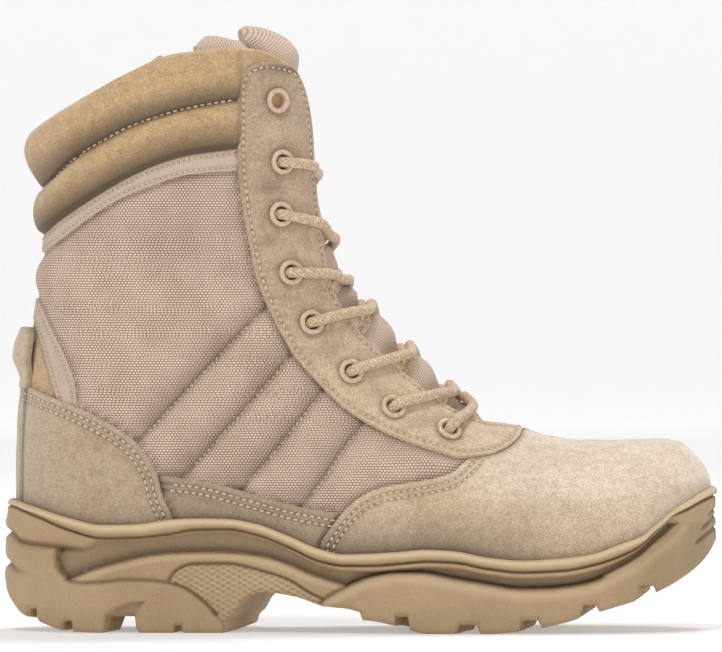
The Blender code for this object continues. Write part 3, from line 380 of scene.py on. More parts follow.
class Sheet:
    """Triangles with attributes at their points, which stay together when the triangles are cut."""

    def __init__(self, tris, **data):
        self.tris = np.asarray(tris, int)
        self.data = data

    def __getitem__(self, name):
        return self.data[name]

    def __setitem__(self, name, values):
        self.data[name] = values

    def copy(self):
        return Sheet(self.tris.copy(), **{k: v.copy() for k, v in self.data.items()})

    def keep(self, wanted):
        """Only the triangles for which a mask holds, with the points that they use."""
        tris = self.tris[wanted]
        used, numbers = np.unique(tris, return_inverse=True)
        return Sheet(numbers.reshape(-1, 3), **{k: v[used] for k, v in self.data.items()})

    def cut(self, name, level=0.0):
        """New points where a named number passes a level, so that no triangle crosses it."""
        field = self.data[name] - level
        field = np.where(np.abs(field) < 1e-3, 0.0, field)
        tris = self.tris
        starts = tris
        ends = np.roll(tris, -1, axis=1)
        crossing = field[starts] * field[ends] < 0
        if not crossing.any():
            return self
        low = np.minimum(starts, ends)[crossing]
        high = np.maximum(starts, ends)[crossing]
        code, inverse = np.unique(low * len(field) + high, return_inverse=True)
        low, high = code // len(field), code % len(field)
        share = field[low] / (field[low] - field[high])
        data = {}
        for key, values in self.data.items():
            weight = share.reshape((-1,) + (1,) * (values.ndim - 1))
            data[key] = np.concatenate([values, values[low] * (1 - weight) + values[high] * weight])
        data[name][len(field):] = level
        normals = data["normal"]
        data["normal"] = normals / np.linalg.norm(normals, axis=1)[:, None]
        made = np.full(tris.shape, -1)
        made[crossing] = inverse + len(field)
        count = crossing.sum(axis=1)
        new = [tris[count == 0]]
        for first in range(3):
            order = [first, (first + 1) % 3, (first + 2) % 3]
            a, b, c = (tris[:, k] for k in order)
            ab, bc, ca = (made[:, k] for k in order)
            lone = (count == 2) & (ab >= 0) & (ca >= 0)
            new += [np.stack(t, axis=1)[lone] for t in ((a, ab, ca), (ab, b, c), (ab, c, ca))]
            halved = (count == 1) & (bc >= 0)
            new += [np.stack(t, axis=1)[halved] for t in ((a, b, bc), (a, bc, c))]
        return Sheet(np.concatenate(new), **data)

    def cut_all(self, name, levels):
        sheet = self
        for level in levels:
            sheet = sheet.cut(name, level)
        return sheet

    def above(self, name, level=0.0):
        """The part where a named number is above a level."""
        sheet = self.cut(name, level)
        return sheet.keep(sheet[name][sheet.tris].mean(axis=1) > level)

    def edges(self):
        """Directed edges of all triangles."""
        return np.concatenate([self.tris[:, [0, 1]], self.tris[:, [1, 2]], self.tris[:, [2, 0]]])

    def rim(self):
        """Directed edges of the border."""
        edges = self.edges()
        size = len(self["point"])
        forward = edges[:, 0] * size + edges[:, 1]
        backward = edges[:, 1] * size + edges[:, 0]
        return edges[~np.isin(forward, backward)]


def point_normals(points, tris):
    """Unit normals at points, averaged over their triangles by area."""
    a, b, c = (points[tris[:, k]] for k in range(3))
    faces = np.cross(b - a, c - a)
    normals = np.zeros_like(points)
    for k in range(3):
        np.add.at(normals, tris[:, k], faces)
    return normals / np.maximum(np.linalg.norm(normals, axis=1), 1e-12)[:, None]


def line_distance(places, line, closed=False):
    """Distance from side-view places to a line of points, and the direction away from it."""
    line = np.asarray(line, float)
    ends = np.roll(line, -1, axis=0) if closed else line[1:]
    best = np.full(len(places), 1e9)
    away = np.zeros((len(places), 2))
    for start, end in zip(line, ends):
        run = end - start
        share = np.clip(((places - start) @ run) / max(run @ run, 1e-12), 0, 1)
        gap = places - start - share[:, None] * run
        distance = np.hypot(gap[:, 0], gap[:, 1])
        nearer = distance < best
        best[nearer] = distance[nearer]
        away[nearer] = gap[nearer] / np.maximum(distance[nearer], 1e-9)[:, None]
    return best, away


def within(places, outline):
    """Which side-view places lie inside a closed outline."""
    outline = np.asarray(outline, float)
    inside = np.zeros(len(places), bool)
    for (x0, z0), (x1, z1) in zip(outline, np.roll(outline, -1, axis=0)):
        if z0 == z1:
            continue
        passes = (places[:, 1] > min(z0, z1)) & (places[:, 1] <= max(z0, z1))
        inside ^= passes & (places[:, 0] < (x1 - x0) * (places[:, 1] - z0) / (z1 - z0) + x0)
    return inside


def lie(sheet, distance, away):
    """Side-view distances turned into distances along the surface, by how steeply it lies there."""
    normals = sheet["normal"]
    tilt = away[:, 0] * normals[:, 0] + away[:, 1] * normals[:, 2]
    return distance / np.sqrt(np.maximum(1 - tilt ** 2, 0.12))


def inside_distance(sheet, outline):
    """Signed distance along the surface to an outline, above 0 inside; corners of the outline are kept."""
    distance, away = line_distance(sheet["place"], outline, closed=True)
    return lie(sheet, distance, away) * np.where(within(sheet["place"], outline), 1.0, -1.0)


def smooth_line(points, steps=6):
    """A rounded line as side-view places."""
    return [tuple(p) for p in rounded_line(points, steps)]


# Body sheet

def fine_column(name, at):
    return follow(range(len(COLUMNS)), [getattr(c, name) for c in COLUMNS], at)


def foot_place(at):
    x = fine_column("foot_x", at)
    return np.stack([x, column(SOLE, "bed", x) + GAP], axis=-1)


def top_place(at):
    return np.stack([fine_column("top_x", at), fine_column("top_z", at)], axis=-1)


LAST_COLUMN = len(COLUMNS) - 1
CORNERS = [[foot_place(0.0), top_place(0.0)], [foot_place(LAST_COLUMN), top_place(LAST_COLUMN)]]
LINE_SHARES = np.linspace(0, 1, 300)
TOE_LINE = along_line(FRONT_LINE, CORNERS[0][0][1], CORNERS[0][1], LINE_SHARES)
HEEL_LINE = along_line(BACK_LINE, CORNERS[1][0][1], CORNERS[1][1], LINE_SHARES)


def wall_at(at, up):
    """Side-view places of the wall by column and by fraction of the height, blended from its four edges."""
    at, up = (np.array(v, float) for v in np.broadcast_arrays(at, up))
    foot, top = foot_place(at), top_place(at)
    toe, heel = (np.stack([np.interp(up, LINE_SHARES, line[:, k]) for k in range(2)], axis=-1)
                 for line in (TOE_LINE, HEEL_LINE))
    across = (at / LAST_COLUMN)[..., None]
    rise = up[..., None]
    (toe_foot, toe_top), (heel_foot, heel_top) = CORNERS
    corners = (1 - rise) * ((1 - across) * toe_foot + across * heel_foot)
    corners += rise * ((1 - across) * toe_top + across * heel_top)
    return (1 - rise) * foot + rise * top + (1 - across) * toe + across * heel - corners


def even_columns(count):
    """Column places that lie evenly along the wall, at the mean of three heights."""
    at = eased_places(0, LAST_COLUMN, 900)
    places = wall_at(at[None, :], np.array([0.2, 0.5, 0.8])[:, None])
    lengths = 0
    for row in places:
        points = wall_point(row[:, 0], row[:, 1], LATERAL)
        points[[0, -1], 1] = column(FOOT_WIDTHS, "bend", points[[0, -1], 0])
        lengths = lengths + length_along(points)
    return np.interp(np.linspace(0, lengths[-1], count), lengths, at)


def wall_sheet(columns, rows):
    """The wall's outer face, both sides joined at the toe, ridge and back seam."""
    up = np.sin(np.linspace(0, 1, rows) * math.pi / 2) ** 0.9
    at = even_columns(columns)
    places = wall_at(at[None, :], up[:, None])
    middle = column(FOOT_WIDTHS, "bend", places[..., 0])
    ridge = at <= RIDGE_COLUMNS - 1
    size = rows * columns
    a, b, c, d = cells(np.arange(size).reshape(rows, columns))
    made = stacked((b, c, d), (b, d, a))
    points, tris, side_of = [], [], []
    for side in (LATERAL, MEDIAL):
        grid = wall_point(places[..., 0], places[..., 1], side)
        grid[:, [0, -1], 1] = middle[:, [0, -1]]
        grid[-1, ridge, 1] = middle[-1, ridge]
        points.append(grid.reshape(-1, 3))
        side_of.append(np.full(size, float(side)))
        tris.append(made if side == LATERAL else made[:, ::-1] + size)
    points, tris, side_of = (np.concatenate(v) for v in (points, tris, side_of))
    seam = np.zeros((rows, columns), bool)
    seam[:, [0, -1]] = True
    seam[-1, ridge] = True
    joined = np.flatnonzero(seam)
    twin = np.arange(2 * size)
    twin[joined + size] = joined
    side_of[joined] = side_of[joined + size] = 0
    tris = twin[tris]
    tris = tris[(tris[:, 0] != tris[:, 1]) & (tris[:, 1] != tris[:, 2]) & (tris[:, 2] != tris[:, 0])]
    sheet = Sheet(tris, point=points, normal=point_normals(points, tris), side=side_of,
                  place=np.concatenate([places.reshape(-1, 2)] * 2),
                  up=np.concatenate([np.repeat(up, columns)] * 2),
                  column=np.concatenate([np.tile(at, rows)] * 2))
    return sheet.keep(np.ones(len(tris), bool))


AROUND_X = (-147, 150, 595)
AROUND_Z = (24, 262, 120)


def around(sheet):
    """Lengths along the wall at one height, from a line near the shin, for the weave's direction."""
    x = np.linspace(*AROUND_X)
    z = np.linspace(*AROUND_Z)
    step = x[1] - x[0]
    lengths = np.zeros(len(sheet["place"]))
    for side in (LATERAL, MEDIAL):
        grid_x, grid_z = np.meshgrid(x, z)
        width = half_width(grid_x, grid_z, side)
        slope = np.clip(np.gradient(width, step, axis=1), -8, 8)
        length = np.cumsum(np.sqrt(1 + slope ** 2), axis=1) * step
        row = np.clip((sheet["place"][:, 1] - z[0]) / (z[1] - z[0]), 0, len(z) - 1.001)
        spot = np.clip((sheet["place"][:, 0] - x[0]) / step, 0, len(x) - 1.001)
        i, j = row.astype(int), spot.astype(int)
        fi, fj = row - i, spot - j
        value = ((1 - fi) * ((1 - fj) * length[i, j] + fj * length[i, j + 1])
                 + fi * ((1 - fj) * length[i + 1, j] + fj * length[i + 1, j + 1]))
        chosen = sheet["side"] * side >= 0
        lengths[chosen] = value[chosen]
    return lengths


# Objects

def add_object(name, mesh):
    obj = bpy.data.objects.new(name, mesh)
    bpy.context.scene.collection.objects.link(obj)
    return obj


def build(name, points, faces, uv=None, smooth=50):
    """An object from points in millimetres, with a coordinate map in millimetres where given."""
    mesh = bpy.data.meshes.new(name)
    points = np.asarray(points, float) * MM
    faces = [np.asarray(f) for f in faces if len(f)]
    loops = np.concatenate([f.ravel() for f in faces])
    sizes = np.concatenate([np.full(len(f), f.shape[1]) for f in faces])
    mesh.vertices.add(len(points))
    mesh.vertices.foreach_set("co", points.astype(np.float32).ravel())
    mesh.loops.add(len(loops))
    mesh.loops.foreach_set("vertex_index", loops.astype(np.int32))
    mesh.polygons.add(len(sizes))
    mesh.polygons.foreach_set("loop_start", (np.cumsum(sizes) - sizes).astype(np.int32))
    mesh.polygons.foreach_set("loop_total", sizes.astype(np.int32))
    mesh.update(calc_edges=True)
    mesh.validate()
    if uv is not None:
        layer = mesh.uv_layers.new(name="weave")
        uv = np.asarray(uv, float) * MM
        corners = np.zeros(len(mesh.loops), np.int32)
        mesh.loops.foreach_get("vertex_index", corners)
        at_corners = uv if len(uv) == len(corners) else uv[corners]
        layer.data.foreach_set("uv", at_corners.astype(np.float32).ravel())
    mesh.shade_smooth()
    if smooth < 180:
        mesh.set_sharp_from_angle(angle=math.radians(smooth))
    return add_object(name, mesh)


def mark(obj, name, values):
    """A named number at each point of a piece, for its material."""
    layer = obj.data.attributes.new(name, "FLOAT", "POINT")
    layer.data.foreach_set("value", np.asarray(values, np.float32))
    return obj


def shell(name, sheet, outer, inner, uv=None, smooth=50, **marks):
    """A closed piece between two offsets from a sheet, marked with numbers from 0 to 1."""
    size = len(sheet["point"])
    top, bottom = (sheet["point"] + sheet["normal"] * np.reshape(by, (-1, 1)) for by in (outer, inner))
    rim = sheet.rim()
    skirt = np.stack([rim[:, 1], rim[:, 0], rim[:, 0] + size, rim[:, 1] + size], axis=1)
    faces = [sheet.tris, sheet.tris[:, ::-1] + size, skirt]
    maps = None if uv is None else np.concatenate([uv, uv])
    piece = build(name, np.concatenate([top, bottom]), faces, maps, smooth)
    for mark_name, values in marks.items():
        mark(piece, mark_name, np.clip(np.concatenate([values, values]), 0, 1))
    return piece


def seam_shade(distance, rows, width=0.75):
    """Painted shade along a panel's rows of stitches, where they sink in furrows."""
    return np.max([bell(distance - row, width) for row in rows], axis=0) * 0.48


def rounded_edge(distance, height, reach):
    """Height of a panel's face near its cut edge, where distance is 0."""
    return height * (0.35 + 0.65 * round_off(distance, reach))


def furrow(distance, at, depth, width):
    """A soft groove along the line where the distance has a value."""
    return -depth * bell(distance - at, width)


def iso_lines(sheet, name, level):
    """The lines of a sheet on which a named number has a value, as lists of point numbers."""
    on = np.abs(sheet[name] - level) < 1e-6
    edges = sheet.edges()
    edges = np.unique(np.sort(edges[on[edges].all(axis=1)], axis=1), axis=0)
    links = {}
    for a, b in edges:
        links.setdefault(a, []).append(b)
        links.setdefault(b, []).append(a)
    lines = []
    seen = set()
    for start in [n for n in links if len(links[n]) == 1] + list(links):
        line = []
        following = [] if start in seen else [start]
        while following:
            line.append(following[0])
            seen.add(following[0])
            following = [n for n in links[line[-1]] if n not in seen]
        if len(line) > 2:
            lines.append(np.array(line))
    return lines


STITCHES = []
THREAD_LIFT = 0.22


def sew_line(points, normals, pitch=3.0, length=2.1, thick=0.5, where=None):
    """Stitches along a line of points."""
    run = length_along(points)
    if run[-1] < 2 * pitch:
        return
    at = np.arange(pitch / 2, run[-1] - pitch / 2, pitch)

    def read(values, where_at):
        return np.stack([np.interp(where_at, run, values[:, k]) for k in range(3)], axis=1)

    middle, out = read(points, at), read(normals, at)
    ahead = read(points, at + length / 2) - read(points, at - length / 2)
    wanted = np.ones(len(at), bool) if where is None else where(middle)
    for p, n, t in zip(middle[wanted], out[wanted], ahead[wanted]):
        STITCHES.append((p, n / np.linalg.norm(n), t / max(np.linalg.norm(t), 1e-9), length, thick))


def sew(sheet, name, levels, face, where=None, pitch=3.0, length=2.1, thick=0.5):
    """Rows of stitches on a face, along the lines of a sheet on which a named number has a value."""
    for level in levels:
        for line in iso_lines(sheet, name, level):
            points = (sheet["point"] + sheet["normal"] * (face + THREAD_LIFT)[:, None])[line]
            sew_line(points, sheet["normal"][line], pitch, length, thick, where)


STITCH_RINGS = [(-0.4, 0.75), (0.0, 1.0), (0.4, 0.75)]
STITCH_SIDES = 6


def make_stitches(name, stitches):
    """All stitches of one thread as one object: small rounded bars."""
    points, quads, tris = [], [], []
    turns = np.linspace(0, 2 * math.pi, STITCH_SIDES, endpoint=False)
    pairs = [(k, (k + 1) % STITCH_SIDES) for k in range(STITCH_SIDES)]
    for p, n, t, length, thick in stitches:
        across = np.cross(n, t)
        start = len(points)
        last = start + 1 + len(STITCH_RINGS) * STITCH_SIDES
        points.append(p - t * 0.5 * length)
        points += [p + t * along * length + across * math.cos(turn) * radius * thick
                   + n * (math.sin(turn) * radius * thick * 0.8 - 0.1 * abs(along))
                   for along, radius in STITCH_RINGS for turn in turns]
        points.append(p + t * 0.5 * length)
        quads += [(ring + k, ring + after, ring + after + STITCH_SIDES, ring + k + STITCH_SIDES)
                  for ring in range(start + 1, last - STITCH_SIDES, STITCH_SIDES) for k, after in pairs]
        for k, after in pairs:
            tris.append((start, start + 1 + after, start + 1 + k))
            tris.append((last, last - STITCH_SIDES + k, last - STITCH_SIDES + after))
    return build(name, points, [np.array(quads), np.array(tris)], smooth=180)


# Fields of the body sheet

def closed_outline(line, *rest):
    """A rounded line, closed by straight sides through the rest of the places."""
    return smooth_line(line, 5) + list(rest)


EYESTAY_TOP = table(Place, [
    (-20, 233), (-24.5, 237.5), (-29, 240.6), (-35, 242.6), (-42, 243.2), (-48, 241.2), (-51.6, 237.4)])
OUTLINES = {
    "eyestay": smooth_line(EYESTAY_TOP + EYESTAY_EDGE[3:], 5) + [(90, 120), (90, 238), (-15, 238)],
    "vamp": closed_outline(VAMP_SEAM, (60, 130), (175, 130), (175, 0), (-17.6, 0)),
    "counter": closed_outline(COUNTER_EDGE, (-80, 0), (-190, 0), (-190, 106.5)),
    "shank": closed_outline(SHANK_EDGE, (12, 46), (12, 0), (-104, 0), (-104, 70)),
    "collar": closed_outline(COLLAR_FOOT, (-20, 209), (-20, 290), (-190, 290), (-190, 150)),
    "tape": closed_outline(TAPE_FOOT, (-30, 198), (-30, 214),
                           *closed_outline(COLLAR_FOOT[::-1], (-190, 150))),
    "ankle": [(-143, 141), *closed_outline(ANKLE_TAPE_BACK[1:], (-129.6, 85), (-121, 85)),
              *closed_outline(ANKLE_TAPE_FRONT[:-1], (-143, 151.5))],
    "back": [(-190, 90), (-128, 90), *closed_outline(ANKLE_TAPE_BACK[::-1], (-190, 150))],
}
SUEDE_THICK = 1.4
STAY_ROW = 2.4
ROWS = (3.2, 5.8)
STAY_CUTS = (0.3, 0.8, 1.5) + tuple(STAY_ROW + by for by in (-0.9, -0.45, 0, 0.45, 0.9))
PANEL_CUTS = (0.3, 0.8, 1.5) + tuple(row + by for row in ROWS for by in (-0.9, -0.45, 0, 0.45, 0.9))


def throat_line():
    """The top edge of the wall from the end of the ridge up the throat, in the side view."""
    at = np.linspace(RIDGE_COLUMNS - 1, 15, 80)
    return np.stack([fine_column("top_x", at), fine_column("top_z", at)], axis=1)


def eyelet_frames():
    """Side, number, middle and outward direction of each eyelet."""
    return [(side, index, wall_point(*place, side), outward(*place, side))
            for side in (LATERAL, MEDIAL) for index, place in enumerate(EYELETS)]


EYELET_FRAMES = eyelet_frames()


def eyelet_distance(sheet):
    """Distance along the surface to the nearest eyelet's axis."""
    best = np.full(len(sheet["point"]), 99.0)
    for _, _, spot, out in EYELET_FRAMES:
        gap = sheet["point"] - spot
        near = np.abs(gap).max(axis=1) < 20
        radial = np.linalg.norm(gap - (gap @ out)[:, None] * out, axis=1)
        best[near] = np.minimum(best[near], radial[near])
    return best


def make_body_sheet():
    """The outer wall as one sheet, with its distance to every panel's outline."""
    sheet = wall_sheet(SHEET_COLUMNS, SHEET_ROWS)
    for name, outline in OUTLINES.items():
        sheet[name] = inside_distance(sheet, outline)
    throat = lie(sheet, *line_distance(sheet["place"], throat_line()))
    sheet["eyestay"] = np.where(sheet["eyestay"] > 0, np.minimum(sheet["eyestay"], throat), sheet["eyestay"])
    sheet["eyelet"] = eyelet_distance(sheet)
    x, z = sheet["place"].T
    sheet["over_rim"] = z - column(SOLE, "rim", x)
    sheet["weave"] = np.stack([around(sheet), z], axis=1)
    return sheet


SHEET_COLUMNS = 230
SHEET_ROWS = 120
BODY = make_body_sheet()


# Relief of the soft body

UPHILL = np.array((-0.75, 0.66))
PILLOW = 2.9
PANELS_AROUND = ("eyestay", "vamp", "counter", "shank")
QUILTING = [
    [(-38, 141), (-55, 124), (-72, 106), (-96, 80)],
    [(-28, 121), (-42, 104), (-58, 86), (-78, 64)],
    [(-15, 105), (-27, 90), (-38, 76), (-52, 60)],
    [(2, 91), (-8, 78), (-16, 66), (-27, 52)],
]


def quarter_relief(sheet):
    """The padding of the nylon, as pillows between sewn channels, and its painted shade."""
    places = sheet["place"]
    nearest = np.full(len(places), 99.0)
    beneath = np.zeros(len(places))
    for line in QUILTING:
        distance, away = line_distance(places, smooth_line(line, 4))
        beneath = np.where(distance < nearest, away @ UPHILL, beneath)
        nearest = np.minimum(nearest, distance)
    x, z = places.T
    covered = np.max([sheet[k] for k in PANELS_AROUND + ("tape", "ankle", "back")], axis=0)
    border = np.maximum(-covered, 0)
    pad = PILLOW * (1 - bell(nearest, 6.0)) - 1.7 * bell(nearest, 1.3)
    belt = ease((150 - z - 0.25 * x) / 25)
    # Painted shade along the panels around the nylon, in each channel, and broadly on the side of each
    # channel under the pillow above; a little darker all over above the quilted belt.
    dark = 0.45 * bell(border, 2.0) * (border > 0) + 0.34 * bell(nearest, 1.3) * belt
    dark += 0.33 * bell(nearest, 6.0) * ease(beneath + 0.5) * belt + 0.1 * (1 - belt)
    return (pad * belt + 1.5 * (1 - belt)) * (1 - bell(border, 5)), dark


# Soft pieces on the body

QUILT_STITCH = -1.3


def cut_panel(field, cuts, *limits):
    """The part of the body sheet where a named number and every limit are above 0, cut at some levels."""
    sheet = BODY.copy()
    sheet["show"] = np.minimum.reduce(limits)
    if field is None:
        return sheet.above("show")
    return sheet.above(field).above("show").cut_all(field, cuts)


def panel_face(edge, thickness=SUEDE_THICK, rows=ROWS, reach=1.0, depth=0.45, width=0.6):
    """Height of a panel's face: rounded at its cut edge, with a furrow along each row of stitches."""
    face = GAP + rounded_edge(edge, thickness, reach)
    for row in rows:
        face = face + furrow(edge, row, depth, width)
    return face


def tucked(face, over, reach, least):
    """A face pressed down where it runs under another panel."""
    under = ease((over + reach) / reach)
    return face * (1 - under) + least * under


def rim_shade(sheet):
    """Painted shade, darker towards the sole's rim."""
    return 0.35 * np.exp(-sheet["over_rim"] / 3)


def covered_place(place):
    """Whether a side-view place lies under one of the panels around the nylon."""
    return any(within(np.array([place]), OUTLINES[name])[0] for name in PANELS_AROUND)


def make_quarter():
    """The padded nylon between the panels, with a row of stitches down each quilting channel."""
    below_collar = np.maximum(-BODY["collar"] + 5, BODY["eyestay"] - 1)
    sheet = cut_panel(None, (), -BODY["vamp"] + 4, below_collar, BODY["over_rim"] + 4, -BODY["counter"] + 5)
    sheet = sheet.above("eyelet", EYELET_HOLE)
    outer, dark = quarter_relief(sheet)
    for line in QUILTING:
        open_places = [q for q in smooth_line(line, 6) if not covered_place(q)]
        for side in (LATERAL, MEDIAL):
            at_level, above = (np.array([surface_out(q, side, QUILT_STITCH + by) for q in open_places])
                               for by in (0, 1))
            sew_line(at_level, above - at_level, 2.6, 1.5, 0.4)
    return shell("quarter", sheet, outer, -1.2, sheet["weave"], shade=dark)


def make_lining():
    """The inner face of the wall, open down the throat and cut out round the lace."""
    sheet = wall_sheet(110, 50)
    sheet["eyelet"] = eyelet_distance(sheet)
    sheet = sheet.above("eyelet", LACE / 2 + 0.2)
    sheet["show"] = np.maximum(sheet["column"] - RIDGE_COLUMNS - 0.2, (0.72 - sheet["up"]) * 20)
    sheet = sheet.above("show")
    return shell("lining", sheet, -1.25, -WALL, sheet["place"])


STAY_DENTS = [(-33, 240, 12, 2.5, 0.9), (-39, 189.5, 5, 3.5, 0.9), (-36, 213, 5, 4, -0.5),
              (-40, 167, 5, 3.5, 0.6), (-27, 189, 4, 5, -0.4), (-30, 142, 5, 4, 0.5),
              (-14, 121, 6, 4, 0.5), (5, 102, 6, 3.5, 0.5), (26, 88, 6, 3, 0.5)]


def make_eyestay():
    sheet = BODY.above("eyestay").cut_all("eyestay", STAY_CUTS).above("eyelet", EYELET_HOLE)
    d = sheet["eyestay"]
    x, z = sheet["place"].T
    outer = panel_face(d, EYESTAY, (STAY_ROW,)) - 0.7 * bell(sheet["eyelet"] - EYELET_OUTER, 2.5)
    outer += 0.3 * bell(sheet["eyelet"] - 10, 3)
    bent = np.zeros(len(d))
    for dent_x, dent_z, across, along, depth in STAY_DENTS:
        bent += depth * np.exp(-((x - dent_x) / across) ** 2 - ((z - dent_z) / along) ** 2)
    outer -= bent * ease(d / 3)
    # Painted shade along the row of stitches, in the dents, in a ring round each eyelet and more towards the
    # top; pale is painted light, stronger towards the bottom.
    dark = 0.75 * seam_shade(d, (STAY_ROW,)) + 0.45 * bent + 0.25 * bell(sheet["eyelet"] - EYELET_OUTER, 1.2)
    dark += 0.12 * ease((z - 150) / 50)
    pale = 0.5 * ease((150 - z) / 60)
    sew(sheet, "eyestay", (STAY_ROW,), outer, where=lambda p: p[:, 2] > 60)
    return shell("eyestay_suede", sheet, outer, 0.05, sheet["place"], shade=dark, pale=pale)


VAMP_SEWN = 53.0


def make_vamp():
    sheet = cut_panel("vamp", PANEL_CUTS, -BODY["eyestay"] + 3.5, BODY["over_rim"] + 5)
    sheet = sheet.cut_all("eyestay", (-0.9, -0.4))
    d = sheet["vamp"]
    x, z = sheet["place"].T
    outer = tucked(panel_face(d), sheet["eyestay"], 0.9, 0.15)
    # Painted shade along the stitches, beside the eyestay's edge, towards the sole's rim and low down away
    # from the toe; pale is painted light where the vamp faces up and towards the toe.
    dark = seam_shade(d, ROWS) * ease((VAMP_SEWN - x) / 3) + 0.5 * bell(sheet["eyestay"] + 1, 1.2)
    dark += rim_shade(sheet) + 0.55 * ease((62 - z) / 30) * ease((105 - x) / 65)
    pale = ease((sheet["normal"][:, 2] + 0.05) / 0.75) * ease((x - 25) / 45)
    pale = np.clip(pale + 0.4 * ease((x - 110) / 30), 0, 1) * 0.58
    sew(sheet, "vamp", ROWS, outer, where=lambda p: (p[:, 0] < VAMP_SEWN) & (p[:, 2] > 30))
    return shell("vamp_suede", sheet, outer, 0.02, sheet["place"], shade=dark, pale=pale)


BACK_STRIP = 2.2


def make_counter():
    sheet = cut_panel("counter", PANEL_CUTS, BODY["over_rim"] + 5)
    d = sheet["counter"]
    x, z = sheet["place"].T
    behind = x - np.interp(z, *np.array(BACK_CURVE)[:, ::-1].T)
    outer = panel_face(d) + 0.7 * step_up(BACK_STRIP - behind, 0.8) * (d > 0.8)
    # Painted shade: the counter a little darker all over than the same suede elsewhere, and more along the
    # stitches, in the crease beside the raised back strip and towards the sole's rim.
    dark = 0.29 + seam_shade(d, ROWS) * 0.9 + 0.6 * bell(behind - BACK_STRIP - 0.35, 0.45)
    dark += rim_shade(sheet)
    sew(sheet, "counter", ROWS, outer, where=lambda p: p[:, 2] > 46)
    return shell("counter_suede", sheet, outer, 0.02, sheet["place"], shade=dark)


def make_shank():
    """The suede strips above the arch, one on each side."""
    sheet = cut_panel("shank", PANEL_CUTS, -BODY["counter"] + 3, -BODY["vamp"] + 3, BODY["over_rim"] + 5)
    outer = panel_face(sheet["shank"], 1.2)
    # Painted shade: the strips darker all over than the same suede elsewhere, and more along the stitches,
    # towards the sole's rim and where they run under the counter and the vamp.
    dark = 0.42 + seam_shade(sheet["shank"], ROWS) * 0.7 + rim_shade(sheet)
    for over in (sheet["counter"], sheet["vamp"]):
        outer = tucked(outer, over, 0.8, 0.15)
        dark += 0.5 * bell(over + 0.5, 1.2)
    pieces = []
    for side, name in ((LATERAL, "outer"), (MEDIAL, "inner")):
        chosen = (sheet["side"][sheet.tris] * side > 0).all(axis=1)
        half = sheet.keep(chosen)
        used = np.unique(sheet.tris[chosen])
        pieces.append(shell(f"shank_strip_{name}", half, outer[used], 0.02, half["place"], shade=dark[used]))
    sew(sheet, "shank", ROWS, outer, where=lambda p: (p[:, 0] > -82) & (p[:, 0] < -10))
    return pieces


TAPE_ROWS = (1.6, 5.4)


def make_tape(name, field):
    """A woven tape with a row of stitches along each edge."""
    cuts = sorted({0.3, 0.8, *(r + by for r in TAPE_ROWS for by in (-0.4, 0, 0.4))})
    sheet = cut_panel(field, cuts, -BODY["eyestay"] + 3, -BODY["counter"] + 3)
    outer = panel_face(sheet[field], TAPE, TAPE_ROWS, 0.8, 0.25, 0.45)
    outer = tucked(outer, np.maximum(sheet["eyestay"], sheet["counter"]), 0.8, 0.1)
    sew(sheet, field, TAPE_ROWS, outer, lambda p: p[:, 0] < -54, 2.4, 1.5, 0.4)
    return shell(name, sheet, outer, -0.3, sheet["weave"], shade=seam_shade(sheet[field], TAPE_ROWS, 0.5))


def make_back_panel():
    sheet = cut_panel("back", (), -BODY["counter"] + 4, -BODY["ankle"] + 2)
    # Painted shade where the panel runs under the counter and the ankle tape.
    dark = 0.6 * bell(sheet["counter"] + 0.4, 1.3) + 0.4 * bell(sheet["ankle"] + 0.4, 1.2)
    return shell("back_panel", sheet, GAP + 0.5, -0.3, sheet["place"], shade=dark)


TAB_OUTLINE = [(-170, 103.5), (-141.4, 103.2), (-139.9, 112), (-138.6, 122), (-138.2, 127), (-139.2, 129.6),
               (-170, 130.6)]
TAB_HALF = 14.0


def make_tab():
    """The finger tab: a loop that stands off the back of the boot."""
    sheet = BODY.copy()
    sheet["tab"] = inside_distance(sheet, TAB_OUTLINE)
    sheet["show"] = 0.8 - sheet["counter"]
    sheet = sheet.above("tab").above("show").cut_all("tab", (0.3, 0.8, 1.5, 2.0, 2.5))
    d = sheet["tab"]
    z = sheet["place"][:, 1]
    off = np.clip(np.abs(sheet["point"][:, 1]) / TAB_HALF, 0, 1)
    loop = ease((z - TAB_FOOT) / TAB_RISE) * (1 - 0.35 * ease((z - 121) / 9))
    lift = GAP + 0.5 + TAB_FLARE * loop * (1 - 0.6 * off ** 2)
    outer = lift + rounded_edge(d, TAB + 0.6, 1.3)
    # Painted shade: the tab a little darker all over, and more towards its cut edge.
    return shell("finger_tab", sheet, outer, lift - 0.1, sheet["place"], shade=0.15 + 0.35 * np.exp(-d / 1.2))


# Collar

COLLAR_COLUMNS = 200
COLLAR_OUTER_ROWS = 60
COLLAR_WRAP = 16
COLLAR_DEPTH = 30.0
COLLAR_FRONT = -54.0
COLLAR_START = 14.9
FAR_PEAK = [(-106, 0), (-101, 0.8), (-89.0, 4.6), (-87.6, 4.4), (-84.5, 1.0), (-80, 0)]


def crossing_up(line, at):
    """How far up each column a line of side-view places crosses it."""
    ups = np.linspace(0.3, 1, 400)
    places = wall_at(at[None, :], ups[:, None])
    above = places[..., 1] > column(line, "z", places[..., 0])
    return ups[np.argmax(above, axis=0)]


